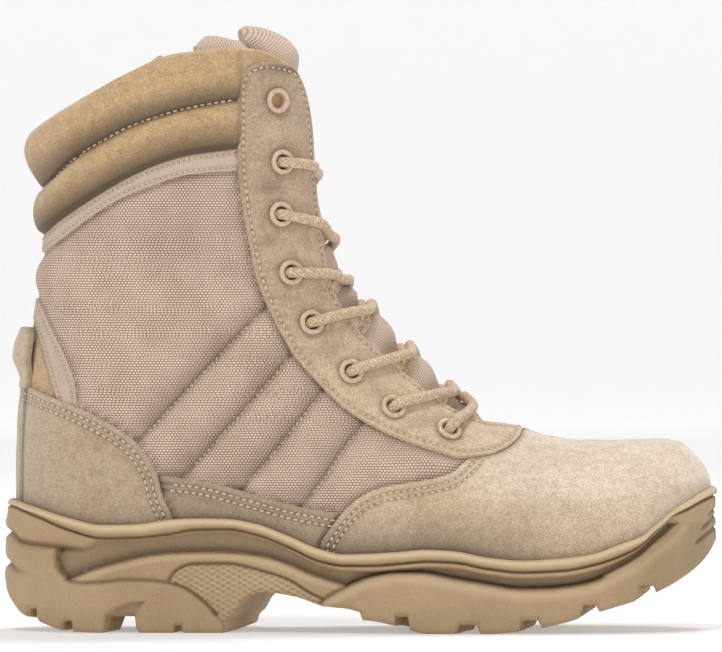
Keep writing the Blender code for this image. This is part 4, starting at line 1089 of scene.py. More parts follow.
def make_collar():
    """Two padded rolls round the top, in one piece with their rounded edge and the padding inside."""
    half = COLLAR_START + (LAST_COLUMN - COLLAR_START) * np.linspace(0, 1, COLLAR_COLUMNS // 2) ** 0.85
    low, valley = crossing_up(COLLAR_FOOT, half), crossing_up(COLLAR_VALLEY, half)
    valley = valley - 0.022 * ease((wall_at(half, np.ones(len(half)))[:, 0] + 112) / -25)
    low, valley = (np.convolve(np.pad(v, 4, mode="edge"), np.ones(9) / 9, "valid") for v in (low, valley))
    up = low + np.linspace(-0.12, 1, COLLAR_OUTER_ROWS)[:, None] * (1 - low)
    places = wall_at(np.broadcast_to(half, up.shape), up)
    lateral, medial = (wall_point(places[..., 0], places[..., 1], side) for side in (LATERAL, MEDIAL))
    for side in (lateral, medial):
        side[:, -1, 1] = column(FOOT_WIDTHS, "bend", places[:, -1, 0])
    grid = np.concatenate([lateral, medial[:, -2::-1]], axis=1)
    rows, count = grid.shape[:2]
    a, b, c, d = cells(np.arange(rows * count).reshape(rows, count))
    normals = point_normals(grid.reshape(-1, 3), stacked((b, c, d), (b, d, a))).reshape(grid.shape)
    low, valley, up = (np.concatenate([v, v[..., -2::-1]], axis=-1) for v in (low, valley, up))
    on_medial = np.arange(count) >= len(half)
    run_up = np.linalg.norm(np.diff(grid[[0, -1]], axis=0), axis=-1) / (1 - up[0])

    # Both rolls stand out from the wall, and the valley between them is drawn in by its seam
    x = grid[..., 0]
    roll_low = np.clip((up - low) / (valley - low), 0, 1)
    roll_high = np.clip((up - valley) / (1 - valley), 0, 1)
    near_back = ease((x + 60) / -70)
    reach = round_off(-51.5 - x, 7.0)
    free = np.clip((-47.5 - x) / 4, 0, 1)
    at_edge = ease((up - 0.93) / 0.07)
    near_top = ease((up - 0.86) / 0.14)
    lower = np.sin(math.pi * roll_low) ** 0.55 * (LOWER_ROLL + 1.4 * near_back) * reach
    high = UPPER_ROLL_SIDE + (UPPER_ROLL - UPPER_ROLL_SIDE) * near_back
    skewed = roll_high ** (0.85 + 0.65 * ease((x + 118) / -22)) * (0.93 + 0.07 * near_back)
    upper = np.sin(math.pi * skewed) ** 0.6 * high * np.maximum(reach, 0.25 * at_edge)
    base = (0.3 + 1.1 * ease((up - low) / 0.012)) * free - 0.4 * (1 - free) * (1 - at_edge)
    crease = bell((up - valley) * run_up, 0.9) * reach
    outer = grid + normals * (base + lower + upper - 0.9 * crease)[..., None]
    peak = near_top * np.where(on_medial, 1.0, 0.0) * np.interp(x, *np.transpose(FAR_PEAK))
    dip = 1.6 * bell(x + 74, 12)
    outer[..., 2] += peak - near_top * dip

    # Round its top edge, then down its inner face
    raised = (peak - dip)[-1]
    rising = grid[-1] - grid[-3]
    rising /= np.linalg.norm(rising, axis=-1)[..., None]
    stand = (base + lower + upper)[-1]
    width = stand + WALL + 3.0
    center = grid[-1] + normals[-1] * (stand - width / 2)[..., None]
    center[:, 2] += raised
    wrap = [center + normals[-1] * (width / 2 * math.cos(turn))[..., None]
            + rising * (width / 2 * (0.6 - 0.4 * near_back[-1]) * math.sin(turn))[..., None]
            for turn in np.linspace(0, math.pi, COLLAR_WRAP)[1:]]
    inside = []
    length = np.linalg.norm(np.diff(grid, axis=0), axis=-1)
    run = np.concatenate([np.zeros((1, count)), np.cumsum(length[::-1], axis=0)])
    for depth in np.linspace(0, COLLAR_DEPTH, 14)[1:]:
        row, out = (np.array([[np.interp(depth, run[:, j], field[::-1, j, k]) for k in range(3)]
                              for j in range(count)]) for field in (grid, normals))
        share = depth / COLLAR_DEPTH
        swell = 3.0 * math.sin(math.pi * min(share, 1)) ** 0.6 + 3.0 * (1 - share)
        row[:, 2] += raised * (1 - share)
        inside.append(row - out * (WALL + 0.1 + swell))

    loops = np.concatenate([outer, np.array(wrap), np.array(inside)], axis=0)
    total = loops.shape[0]
    numbers = np.arange(total * count).reshape(total, count)
    after = np.roll(numbers, -1, axis=0)
    quads = stacked((numbers[:, 1:], after[:, 1:], after[:, :-1], numbers[:, :-1]))
    ends = [numbers[:, 0][None, ::-1], numbers[:, -1][None, :]]
    uv = np.stack(np.meshgrid(length_along(grid[rows // 2]), np.arange(total) * 1.3), axis=-1).reshape(-1, 2)
    dark = np.zeros((total, count))
    # Painted shade: in the valley's crease, at the foot of the lower roll, where the front end meets the
    # eyestay, on the underside of each roll, and over the inner face at the front.
    dark[:rows] = 0.8 * crease + 0.45 * bell((up - low) * run_up, 2.0)
    dark[:rows] += 0.35 * bell(x + 52.6, 1.5)
    below = 1 - ease(roll_low / 0.8) + (up > valley) * (1 - ease(roll_high / 0.62))
    dark[:rows] += 0.85 * np.clip(below, 0, 1) * (up > low) * reach
    dark[rows + COLLAR_WRAP - 1:] = 0.7 * (x[-1] > -48)
    sewn = [j for j in range(count) if x[rows // 2, j] <= COLLAR_FRONT]
    spots, outs = (np.array([[np.interp(valley[j], up[:, j], field[:, j, k]) for k in range(3)]
                             for j in sewn]) for field in (outer, normals))
    sew_line(spots + outs * 0.3, outs)
    return mark(build("collar", loops.reshape(-1, 3), [quads] + ends, uv, 180), "shade", dark.ravel())


# Lace crossings: height on the middle line, and how far the upper strand's middle stands off the last
Crossing = namedtuple("Crossing", "z lift under")
CROSSINGS = table(Crossing, [
    (196.5, -2.6, 1.0), (168.0, 0.2, 3.5), (150.5, 0.3, 4.0), (138.2, 3.6, 2.0), (119.3, 4.4, 1.5),
    (103.2, 2.8, 1.2), (98.6, 2.2, 0.0)])
PRESSED = 3.7
FAR_SHARE = 0.52


# Tongue

TONGUE_SEAM = 0.62
TONGUE_CURL = 9.0
TONGUE_FOOT = 85.6
TONGUE_ACROSS = 84
TONGUE_UP = 150


def make_tongue():
    """The padded tongue, dented by the lace, with two seams up its lobes and a top that curls over."""
    fractions = np.linspace(-1, 1, TONGUE_ACROSS + 1)
    seams = np.abs(fractions) - TONGUE_SEAM
    top = 261.4 - 2.2 * ease(seams / 0.3 + 0.5) - 4.4 * bell(seams, 0.15)
    top = top - 7.0 * ease((np.abs(fractions) - 0.88) / 0.2)
    grid_z = TONGUE_FOOT + (top[None, :] - TONGUE_FOOT) * np.linspace(0, 1, TONGUE_UP)[:, None]
    rows, count = grid_z.shape
    f = np.broadcast_to(fractions, grid_z.shape).ravel()
    z = grid_z.ravel()
    place, inward = front_places(z)
    depth, thickness, recess, puff = (column(TONGUE, k, z) for k in ("depth", "thickness", "recess", "puff"))
    x, up = (place + inward * (depth * f * f)[:, None]).T
    points = np.where((f < 0)[:, None], wall_point(x, up, LATERAL), wall_point(x, up, MEDIAL))
    points[f == 0, 1] = column(FOOT_WIDTHS, "bend", points[f == 0, 0])
    grid = points.reshape(rows, count, 3)
    a, b, c, d = cells(np.arange(rows * count).reshape(rows, count))
    sheet = Sheet(stacked((a, d, c), (a, c, b)), point=points)
    sheet["normal"] = point_normals(points, sheet.tris)
    length = np.linalg.norm(np.diff(grid, axis=0), axis=-1)
    across = np.linalg.norm(np.diff(grid, axis=1), axis=-1)
    from_top = np.concatenate([np.cumsum(length[::-1], axis=0)[::-1], np.zeros((1, count))]).ravel()
    rise = np.concatenate([np.zeros((1, count)), np.cumsum(length, axis=0)])
    run = np.concatenate([np.zeros((rows, 1)), np.cumsum(across, axis=1)], axis=1)
    from_side = np.minimum(run, run[:, -1:] - run).ravel()

    bend = column(FOOT_WIDTHS, "bend", points[:, 0])
    swell = np.cos(np.clip((points[:, 1] - bend) / PUFF_HALF_WIDTH, -1, 1) * math.pi / 2) ** 2
    middle_offset = -(WALL + recess) + puff * swell - thickness / 2
    from_seam = np.abs(f) - TONGUE_SEAM
    quilt = 1 - 0.6 * bell(from_seam, 0.055) * ease((z - 190) / 20)
    quilt = quilt * (1 + 0.25 * ease((z - 225) / 20) * (1 - bell(from_seam, 0.2)))
    curl = np.clip((z - 243) / 18, 0, 1.1)
    points[:, 0] -= TONGUE_CURL * curl ** 2.4 * (1 - 0.6 * f ** 2)
    dent = np.max([np.exp(-((z - c.z - 1) / 4.2) ** 2 - (f / 0.55) ** 4) for c in CROSSINGS], axis=0)
    middle_offset = middle_offset - 2.6 * dent + 0.9 * (1 - dent) * ease((160 - z) / 20) * ease((z - 95) / 6)
    middle_offset += 1.8 * bell(z - 96.5, 4.5) + 1.5 * bell(z - 165.5, 3.0)
    full = thickness / 2 + 2.5 * ease((z - 238) / 12)
    half = full * round_off(from_top, 8.5, 0.0004) * round_off(from_side, 4, 0.02) * quilt - 1.0 * dent
    half = np.maximum(half, 0.3)
    uv = np.stack([(run - run[:, [count // 2]]).ravel(), rise.ravel()], axis=1)
    # Painted shade along the seams up the lobes and in the dents that the lace presses in.
    dark = 0.6 * bell(from_seam, 0.03) + 0.4 * dent
    return shell("tongue_pad", sheet, middle_offset + half, middle_offset - half, uv, 180, shade=dark)


# Eyelets and lace

def aim(direction):
    """The turn that brings +Z to a direction."""
    return Vector(direction).to_track_quat("Z", "Y").to_matrix()


def turned(profile, sides=32):
    """Points and faces of a ring turned from a closed profile of (radius, height)."""
    angles = 2 * math.pi * np.arange(sides) / sides
    points = [(r * math.cos(angle), r * math.sin(angle), h) for angle in angles for r, h in profile]
    size = len(profile)
    k, j = np.meshgrid(np.arange(sides), np.arange(size), indexing="ij")
    after, next_j = (k + 1) % sides, (j + 1) % size
    corners = k * size + j, after * size + j, after * size + next_j, k * size + next_j
    return np.array(points), stacked(corners)


def eyelet_profile():
    """Closed section of a rolled eyelet: barrel, flange and the round of its face."""
    crown = [(4.35 + 1.1 * math.cos(a), 0.35 + 0.95 * math.sin(a))
             for a in np.linspace(0.2, math.pi - 0.1, 8)]
    return [(EYELET_BORE + 0.1, -EYELET_DEPTH), (EYELET_BARREL, -EYELET_DEPTH), (EYELET_BARREL, -0.05),
            (EYELET_OUTER, -0.05), (EYELET_OUTER + 0.05, 0.2), *crown, (EYELET_BORE, -0.1)]


def make_eyelets():
    made = []
    points, quads = turned(eyelet_profile())
    for side, index, spot, out in EYELET_FRAMES:
        placed = points @ np.array(aim(out)).T + spot + out * (EYELET_SEAT - 0.45)
        name = f"{SIDE_NAMES[side]}_{index + 1}"
        made.append((build(f"eyelet_ring_{name}", placed, [quads], smooth=60), f"eyelet_{name}"))
    return made


def tongue_face(z, share, lift):
    """A point off the tongue's outer face, at a height and a share of the way to its side."""
    def spot(height, across):
        place, inward = front_places(np.array([height]))
        x, up = place[0] + inward[0] * float(column(TONGUE, "depth", height)) * across ** 2
        if across == 0:
            return np.array([x, float(column(FOOT_WIDTHS, "bend", x)), up])
        return wall_point(x, up, LATERAL if across < 0 else MEDIAL)

    across = spot(z, share + 0.05) - spot(z, share - 0.05)
    upwards = spot(z + 1.5, share) - spot(z - 1.5, share)
    out = np.cross(across, upwards)
    return spot(z, share) + out / np.linalg.norm(out) * lift


def lace_half(side):
    """Half of the lace: from inside the highest laced eyelet, down in crossings to the lowest bar."""
    on_panel = EYESTAY + GAP + LACE / 2
    route = []
    here = side
    frames = {(s, k): (spot, out) for s, k, spot, out in EYELET_FRAMES}
    for index, crossing in enumerate(CROSSINGS, FIRST_LACED):
        spot, out = frames[(here, index)]
        eyelet = np.array(EYELETS[index])
        seat = spot + out * (EYESTAY + 2 * GAP)
        last = index == len(EYELETS) - 1
        over = here == LATERAL or last
        middle_z = crossing.z + (0 if over else crossing.under)
        lift = crossing.lift - (0 if over else PRESSED)
        edge = throat_edge(float(eyelet[1] + (middle_z - eyelet[1]) * EDGE_SHARE))
        heading = wall_point(edge[0], edge[1], here) - spot
        heading /= np.linalg.norm(heading)
        if index == FIRST_LACED:
            route.append(spot - out * (WALL + 6) - heading * 4)
        near_z = edge[1] + (middle_z - edge[1]) * 0.6
        route += [spot - out * (WALL + 1.5) - heading * 1.0,
                  seat + out * 0.6 + heading * 0.2,
                  seat + out * (LACE * 0.58) + heading * 3.2,
                  surface_out(eyelet + (edge - eyelet) * 0.6, here, on_panel + 0.1),
                  surface_out(edge, here, (on_panel + lift) / 2 + 0.6),
                  tongue_face(near_z, 0.3 * here, lift + 0.2),
                  tongue_face(middle_z, 0.0, lift)]
        if last:
            return route
        low = EYELETS[index + 1].z
        far = throat_edge(float(low + (middle_z - low) * FAR_SHARE))
        route.append(tongue_face(middle_z - (middle_z - far[1]) * 0.4, -0.3 * here, lift - 1.0))
        route.append(surface_out(far, -here, -(WALL + LACE / 2 + 0.4)))
        here = -here


def sweep(name, route, radius, sides=14, spacing=0.9):
    """A closed round tube along a smooth curve, with a map of its turns and length."""
    line = rounded_line(route, 12)
    run = length_along(line)
    at = np.linspace(0, run[-1], int(run[-1] / spacing) + 1)
    line = np.stack([np.interp(at, run, line[:, k]) for k in range(3)], axis=1)
    kernel = np.array([1, 3, 4, 3, 1]) / 12
    for _ in range(3):
        inner = np.stack([np.convolve(line[:, k], kernel, "valid") for k in range(3)], axis=1)
        line = np.concatenate([line[:2], inner, line[-2:]])
    tangent = np.gradient(line, axis=0)
    tangent /= np.linalg.norm(tangent, axis=1)[:, None]
    first = np.cross(tangent[0], (0, 0, 1))
    frame_x = [first / np.linalg.norm(first)]
    for ahead in tangent[1:]:
        moved = frame_x[-1] - ahead * (frame_x[-1] @ ahead)
        frame_x.append(moved / np.linalg.norm(moved))
    frame_x = np.array(frame_x)
    frame_y = np.cross(tangent, frame_x)
    turns = np.linspace(0, 2 * math.pi, sides, endpoint=False)[None, :, None]
    rings = line[:, None] + radius * (np.cos(turns) * frame_x[:, None] + np.sin(turns) * frame_y[:, None])
    points = np.concatenate([rings.reshape(-1, 3), line[[0]] - tangent[[0]] * radius * 0.5,
                             line[[-1]] + tangent[[-1]] * radius * 0.5])
    number = np.arange(len(line) * sides).reshape(-1, sides)
    after = np.roll(number, -1, axis=1)
    quads = stacked((number[:-1], after[:-1], after[1:], number[1:]))
    start, end = len(points) - 2 + 0 * number[0], len(points) - 1 + 0 * number[0]
    tris = [stacked((start, after[0], number[0])), stacked((end, number[-1], after[-1]))]
    lengths = length_along(line)
    each = 2 * math.pi * radius / sides
    around_it = quads[:, 0] % sides * each
    here, further = lengths[quads[:, 0] // sides], lengths[quads[:, 2] // sides]
    uv = np.stack([np.stack([around_it, around_it + each, around_it + each, around_it], axis=1),
                   np.stack([here, here, further, further], axis=1)], axis=-1).reshape(-1, 2)
    uv = np.concatenate([uv, np.zeros((3 * sides, 2)), np.full((3 * sides, 2), lengths[-1])])
    return build(name, points, [quads] + tris, uv, 180)


def make_lace():
    first = lace_half(LATERAL)
    second = lace_half(MEDIAL)
    route = first[:-1] + [(np.array(first[-1]) + np.array(second[-1])) / 2] + second[-2::-1]
    return sweep("lace", route, LACE / 2)


# Sole: one mesh for the tread, its block faces, the recessed band and the rim

SOLE_ROWS = 72
SOLE_SPACING = 1.35
GRIP_SPACING = 0.65
HATCH_PITCH = 2.5
ROW_LEAST = 0.04
NEAR_GROOVE = (-1.5, -1.15, -0.85, -0.6, -0.38, -0.18, 0, 0.18, 0.38, 0.6, 0.85, 1.2)
BAND_CORNER = (-133.0, -118.0)
RIM_ROUND = 2.3
RIM_LIGHT = -0.8
UNDERSIDE_STEPS = 44
HEEL_BLOCK_TOP = table(Place, [
    (-130.6, 36.2), (-131.3, 31.9), (-130.6, 27), (-127.7, 23.6), (-124, 22), (-118, 21.2), (-111.9, 21.5),
    (-99.9, 22.6), (-91, 22.4), (-82.7, 21.4), (-76.2, 19.6), (-69.2, 14.9), (-64.5, 10.7), (-60, 4.5),
    (-58, 0)])
BLADE_TOP = table(Place, [
    (-124.5, 22.4), (-111.9, 27), (-104.2, 29.1), (-93.4, 31.7), (-83.2, 33.1), (-66.9, 33.8),
    (-52.8, 33.3), (-41.2, 31.7), (-31, 28.4), (-22.7, 24.8), (-13, 21.6), (-7.4, 19.9)])
GRIP_TOP = table(Place, [
    (-82.7, 21.4), (-81.8, 23.3), (-78.1, 27.5), (-71.5, 29.6), (-57.5, 29.8), (-45.8, 27.5),
    (-31, 22.8), (-22.7, 17.6), (-16.5, 14.6)])
FRONT_BLOCK_TOP = table(Place, [
    (-17.5, 13.5), (-14, 16), (-7.4, 19.6), (2.8, 23.9), (15.6, 26), (25, 25.9), (39, 23.5), (53, 21.2),
    (67, 19.1), (76.3, 19.1), (85.6, 19.8), (98.2, 22.1), (106.9, 26.1), (117.7, 31.9), (124.9, 37.7),
    (130.7, 42), (135, 46.4)])
BAND_START = -112.0
BAND_END = 131.0
SCOOP = table(Place, [
    (-109.8, -3), (-109.3, 6.8), (-105.3, 9.9), (-99.9, 12.5), (-92.5, 13.4), (-96.7, 7.9), (-96.3, -3)])
HEEL_GROOVES = [
    [(-156, 42.6), (-150.1, 42), (-147.1, 38.9), (-138.3, 37.2), (-129.5, 36.4), (-117.6, 35.8)],
    [(-156, 29.4), (-152.1, 29.2), (-147.9, 26.3), (-141.3, 24.3)]]
TOE_WRINKLES = [
    [(146.5, 48), (151.2, 51.4), (156, 52.6)], [(143.3, 42.1), (152, 49.2), (156, 50.6)],
    [(140.5, 36.6), (152, 44.3), (156, 46)]]
MEDIAL_SHIFT = ((-110, 0), (-85, 9), (-63, 20), (-38, 12), (-6, 2.5), (15, 0))


def polygon_depth(places, outline):
    """Distance to an outline in the side view, above 0 inside it."""
    return line_distance(places, outline, closed=True)[0] * np.where(within(places, outline), 1.0, -1.0)


def sole_outlines():
    """Closed outlines of the areas on the sole's side."""
    across = np.linspace(BAND_START, BAND_END, 70)
    strip = 0.9 + 1.6 * ease((across + 40) / 45) * (1 - ease((across - 96) / 34))
    band_top = list(zip(across, column(SOLE, "groove", across) - strip))[::-1]
    heel_corner = [p for p in HEEL_BLOCK_LINE if p[1] < 36 and p[0] < -124.6]
    band_heel = [(-118, 36.4), (-124, 36.2), (-130.4, 36.2)] + heel_corner
    blade_foot = [p for p in HEEL_BLOCK_LINE if -124.5 < p[0] < -82.8][::-1]
    grip_back = [p for p in HEEL_BLOCK_LINE if p[0] > -82.7][::-1]
    return {
        "band": BLADE_LINE + FRONT_BLOCK_LINE[8:] + band_top + band_heel,
        "blade": BLADE_LINE + GRIP_LINE[::-1] + blade_foot,
        "grip": GRIP_LINE + [(-16.5, -9), (-58, -9)] + grip_back,
        "heel": HEEL_BLOCK_LINE + [(-58, -9), (-190, -9), (-190, 36.2)],
        "front": FRONT_BLOCK_LINE + [(190, 46.4), (190, -9), (-17.5, -9)],
        "scoop": SCOOP,
    }


HEEL_BLOCK_LINE, BLADE_LINE, GRIP_LINE, FRONT_BLOCK_LINE = (
    smooth_line(line, 4) for line in (HEEL_BLOCK_TOP, BLADE_TOP, GRIP_TOP, FRONT_BLOCK_TOP))
HEEL_CREASE = [p for p in HEEL_BLOCK_LINE if -126 < p[0] < -62]
FRONT_CREASE = [p for p in FRONT_BLOCK_LINE if p[0] < 104]
SOLE_OUTLINES = sole_outlines()


def lateral_twin(x):
    """The place on the outer side whose relief the inner side repeats."""
    outer = [p[0] for p in MEDIAL_SHIFT]
    inner = [p[0] + p[1] for p in MEDIAL_SHIFT]
    return np.where((x > outer[0]) & (x < outer[-1]), np.interp(x, inner, outer), x)


def sole_relief(x, z, low):
    """How far the sole's side stands out from its plain face, how coarse its grain is, and its painted shade,
    below 0 where it is a painted highlight.
    """
    places = np.stack([x, z], axis=1)

    def gap_to(*lines):
        return np.min([line_distance(places, line)[0] for line in lines], axis=0)

    inside = {name: polygon_depth(places, outline) for name, outline in SOLE_OUTLINES.items()}
    foot_of_band = gap_to(BLADE_LINE, FRONT_BLOCK_LINE, HEEL_BLOCK_LINE)
    from_blade, from_heel, from_front = (gap_to(k) for k in (BLADE_LINE, HEEL_BLOCK_LINE, FRONT_BLOCK_LINE))
    relief = 0.25 - (1.75 + 1.6 * bell(foot_of_band, 3.0)) * step_up(inside["band"], 1.7)
    relief = blend(relief, 0.15 - 0.09 * np.clip(from_blade, 0, 12), step_up(inside["blade"] + 0.2, 1.0))
    lattice = [bell(((z + lean * x) / HATCH_PITCH) % 1 - 0.5, 0.16) for lean in (0.55, -0.55)]
    hatch = np.max(lattice, axis=0) * step_up(inside["grip"] - 0.7, 1)
    relief = blend(relief, -1.5 + 0.45 * hatch, step_up(inside["grip"], 0.9))
    bulge = 0.95 * round_off(from_heel, 4.5) + 0.1
    behind = ease((x + 134) / -6)
    heel = bulge * (1 - behind) + (0.35 + 0.6 * ease((32 - z) / 12)) * behind
    relief = blend(relief, heel, step_up(inside["heel"] + 0.3, 1.7))
    beyond = ease((x - 133) / 6)
    front = 1.05 * round_off(from_front, 5) * (1 - beyond) + 0.45 * beyond
    relief += (front - relief) * step_up(inside["front"] + 0.2, 0.9) * (z < 60)
    relief -= 1.7 * step_up(inside["scoop"], 1.2)
    crease = np.minimum(gap_to(HEEL_CREASE, FRONT_CREASE), gap_to(GRIP_LINE) + 0.3)
    relief -= 0.8 * bell(crease, 0.8)
    valleys = np.zeros(len(x))
    for line in HEEL_GROOVES:
        near = gap_to(smooth_line(line, 4))
        end = line[-1][0]
        relief -= 1.8 * bell(near, 1.3) * ease((end - x) / 16 + 0.15)
        relief += 0.9 * bell(near - 4.0, 2.6) * ease((end - 4 - x) / 10)
        valleys = np.maximum(valleys, bell(near, 1.2) * ease((end - x) / 12 + 0.2))
    for line in TOE_WRINKLES:
        near = gap_to(line)
        starts = ease((x - line[0][0]) / 4)
        relief -= 1.0 * bell(near, 0.9) * starts
        valleys = np.maximum(valleys, bell(near, 0.8) * starts)

    groove, rim = column(SOLE, "groove", x), column(SOLE, "rim", x)
    above = z - groove
    relief -= 1.25 * bell(above, 0.5)
    roll = np.clip(above / np.maximum(rim - groove, 1), 0, 1)
    relief += step_up(above - 0.5, 0.8) * 0.9 * np.sin(math.pi * roll)
    relief -= 1.3 * (1 - ease((z - low) / 1.8))
    grain = step_up(inside["band"] - 0.4, 1.2) * (1 - step_up(inside["blade"] + 0.2, 1))
    grain = grain * (1 - step_up(inside["front"] + 0.2, 1))
    # Painted shade in the creases, the groove under the rim, the recessed band and most at its foot, the
    # scoop, the heel's valleys and toe wrinkles, towards the ground, over the grip and over the toe's block;
    # painted highlights on the rim's roll, along the top edges of the front block and the blade, and on the
    # grip's hatching.
    dark = 0.75 * bell(crease, 0.9) + 0.7 * bell(above, 0.7)
    dark += 0.45 * grain * bell(foot_of_band, 3.5) + 0.25 * grain + 0.25 * step_up(inside["scoop"], 1.2)
    dark += 0.55 * valleys + 0.18 * ease((16 - z) / 16) + 0.15 * grain
    dark += 0.22 * step_up(inside["front"], 2.0) * ease((x - 95) / 35)
    dark -= 0.8 * step_up(above - 1.2, 1.6) * ease((roll - 0.25) / 0.5)
    dark -= 0.3 * bell(from_front - 3, 2.0) * step_up(inside["front"], 1.0)
    dark -= 0.3 * bell(from_blade - 1.6, 1.0) * step_up(inside["blade"], 1.0)
    dark -= 0.6 * hatch * step_up(inside["grip"], 0.9) - 0.25 * step_up(inside["grip"], 0.9)
    return relief, grain, dark


def arch_height(x, y):
    """Height of the arch's underside, whose steps lie further forward on the inner side."""
    share = np.clip((y + ARCH_HALF_SPAN) / (2 * ARCH_HALF_SPAN), 0, 1)
    height = np.full(x.shape, -9.0)
    for start, end in zip(ARCH[:-1], ARCH[1:]):
        x0 = start.lateral_x + (start.medial_x - start.lateral_x) * share
        x1 = end.lateral_x + (end.medial_x - end.lateral_x) * share
        part = (x - x0) / (x1 - x0)
        height = np.where((part >= 0) & (part <= 1), start.z + (end.z - start.z) * part, height)
    return height


def underside(x, y):
    """Height of the tread's face: lugs on the ground, grooves between them and the arch."""
    base = column(SOLE, "tread", x)
    bend = column(FOOT_WIDTHS, "bend", x)
    height = base.copy()
    slant = CHEVRON * (TREAD_EDGE - np.abs(y))
    for groove in TREAD_GROOVES:
        inside = np.minimum(x - groove.start - slant, groove.end + slant - x)
        height = np.maximum(height, base + (groove.roof - base) * step_up(inside, 0.7) * (groove.roof > base))
    off = np.abs(y - bend)
    in_arch = (x > -62) & (x < 3)
    channel = 2.6 * step_up(2.3 - off, 0.8) + 1.6 * step_up(0.9 - np.abs(off - 21), 0.7) * (off < 24)
    ends = ease((x + 136) / 8) * ease((128 - x) / 8)
    height = height + channel * ends * (height < base + 0.5) * (~in_arch)
    arch = arch_height(x, y)
    ribs = 0.8 * step_up(0.9 - np.abs((x + 0.25 * np.abs(y)) % 9 - 4.5), 0.7) * (arch > 8) * (off < 30)
    return np.maximum(height, arch + ribs * (arch > 8))


def sole_stations():
    """Places along the foot for the sole's sections, close at its ends and at the lugs' edges."""
    fine = eased_places(FOOT_HEEL, FOOT_TOE, 1500)
    y = half_width(fine, column(SOLE, "rim", fine), LATERAL)
    y[[0, -1]] = 0
    run = np.concatenate([[0], np.cumsum(np.hypot(np.diff(fine), np.diff(y)))])
    even = np.interp(np.linspace(0, run[-1], int(run[-1] / SOLE_SPACING)), run, fine)
    grip = np.arange(GRIP_TOP[0].x + 1, GRIP_TOP[-1].x + 14, GRIP_SPACING)
    band = np.arange(BAND_CORNER[0], BAND_CORNER[1], GRIP_SPACING)
    for part in (grip, band):
        even = np.concatenate([even[(even < part[0] - 0.5) | (even > part[-1] + 0.5)], part])
    edges = [e + by for g in TREAD_GROOVES for e in (g.start, g.end) for by in (-0.35, 0.35)]
    edges = np.array([e for e in edges if FOOT_HEEL + 6 < e < FOOT_TOE - 6])
    even = even[np.abs(even[:, None] - edges[None, :]).min(axis=1) > 0.45]
    return np.sort(np.concatenate([even, edges]))[::-1]


def span(points, first, size, shares, dig):
    """Faces across a closed ring of points, with new points between its two sides."""
    half = size // 2
    outer = first + np.arange(half + 1)
    inner = first + (size - np.arange(half + 1)) % size
    share = shares[1:-1][None, :, None]
    between = points[outer[1:-1]][:, None] * (1 - share) + points[inner[1:-1]][:, None] * share
    if dig:
        between[..., 2] = underside(between[..., 0], between[..., 1])
    grid = np.repeat(outer[:, None], len(shares), axis=1)
    grid[1:-1, 1:-1] = len(points) + np.arange((half - 1) * (len(shares) - 2)).reshape(half - 1, -1)
    grid[:, -1] = inner
    grid[-1] = grid[-1, 0]
    a, b, c, d = cells(grid)
    quads = stacked((a, d, c, b)) if dig else stacked((b, c, d, a))
    twice = (quads[:, 0] == quads[:, 1]) | (quads[:, 2] == quads[:, 3])
    shared = [[v for n, v in enumerate(q) if v not in q[:n]] for q in quads[twice]]
    return quads[~twice], np.array([q for q in shared if len(q) == 3]), between.reshape(-1, 3)


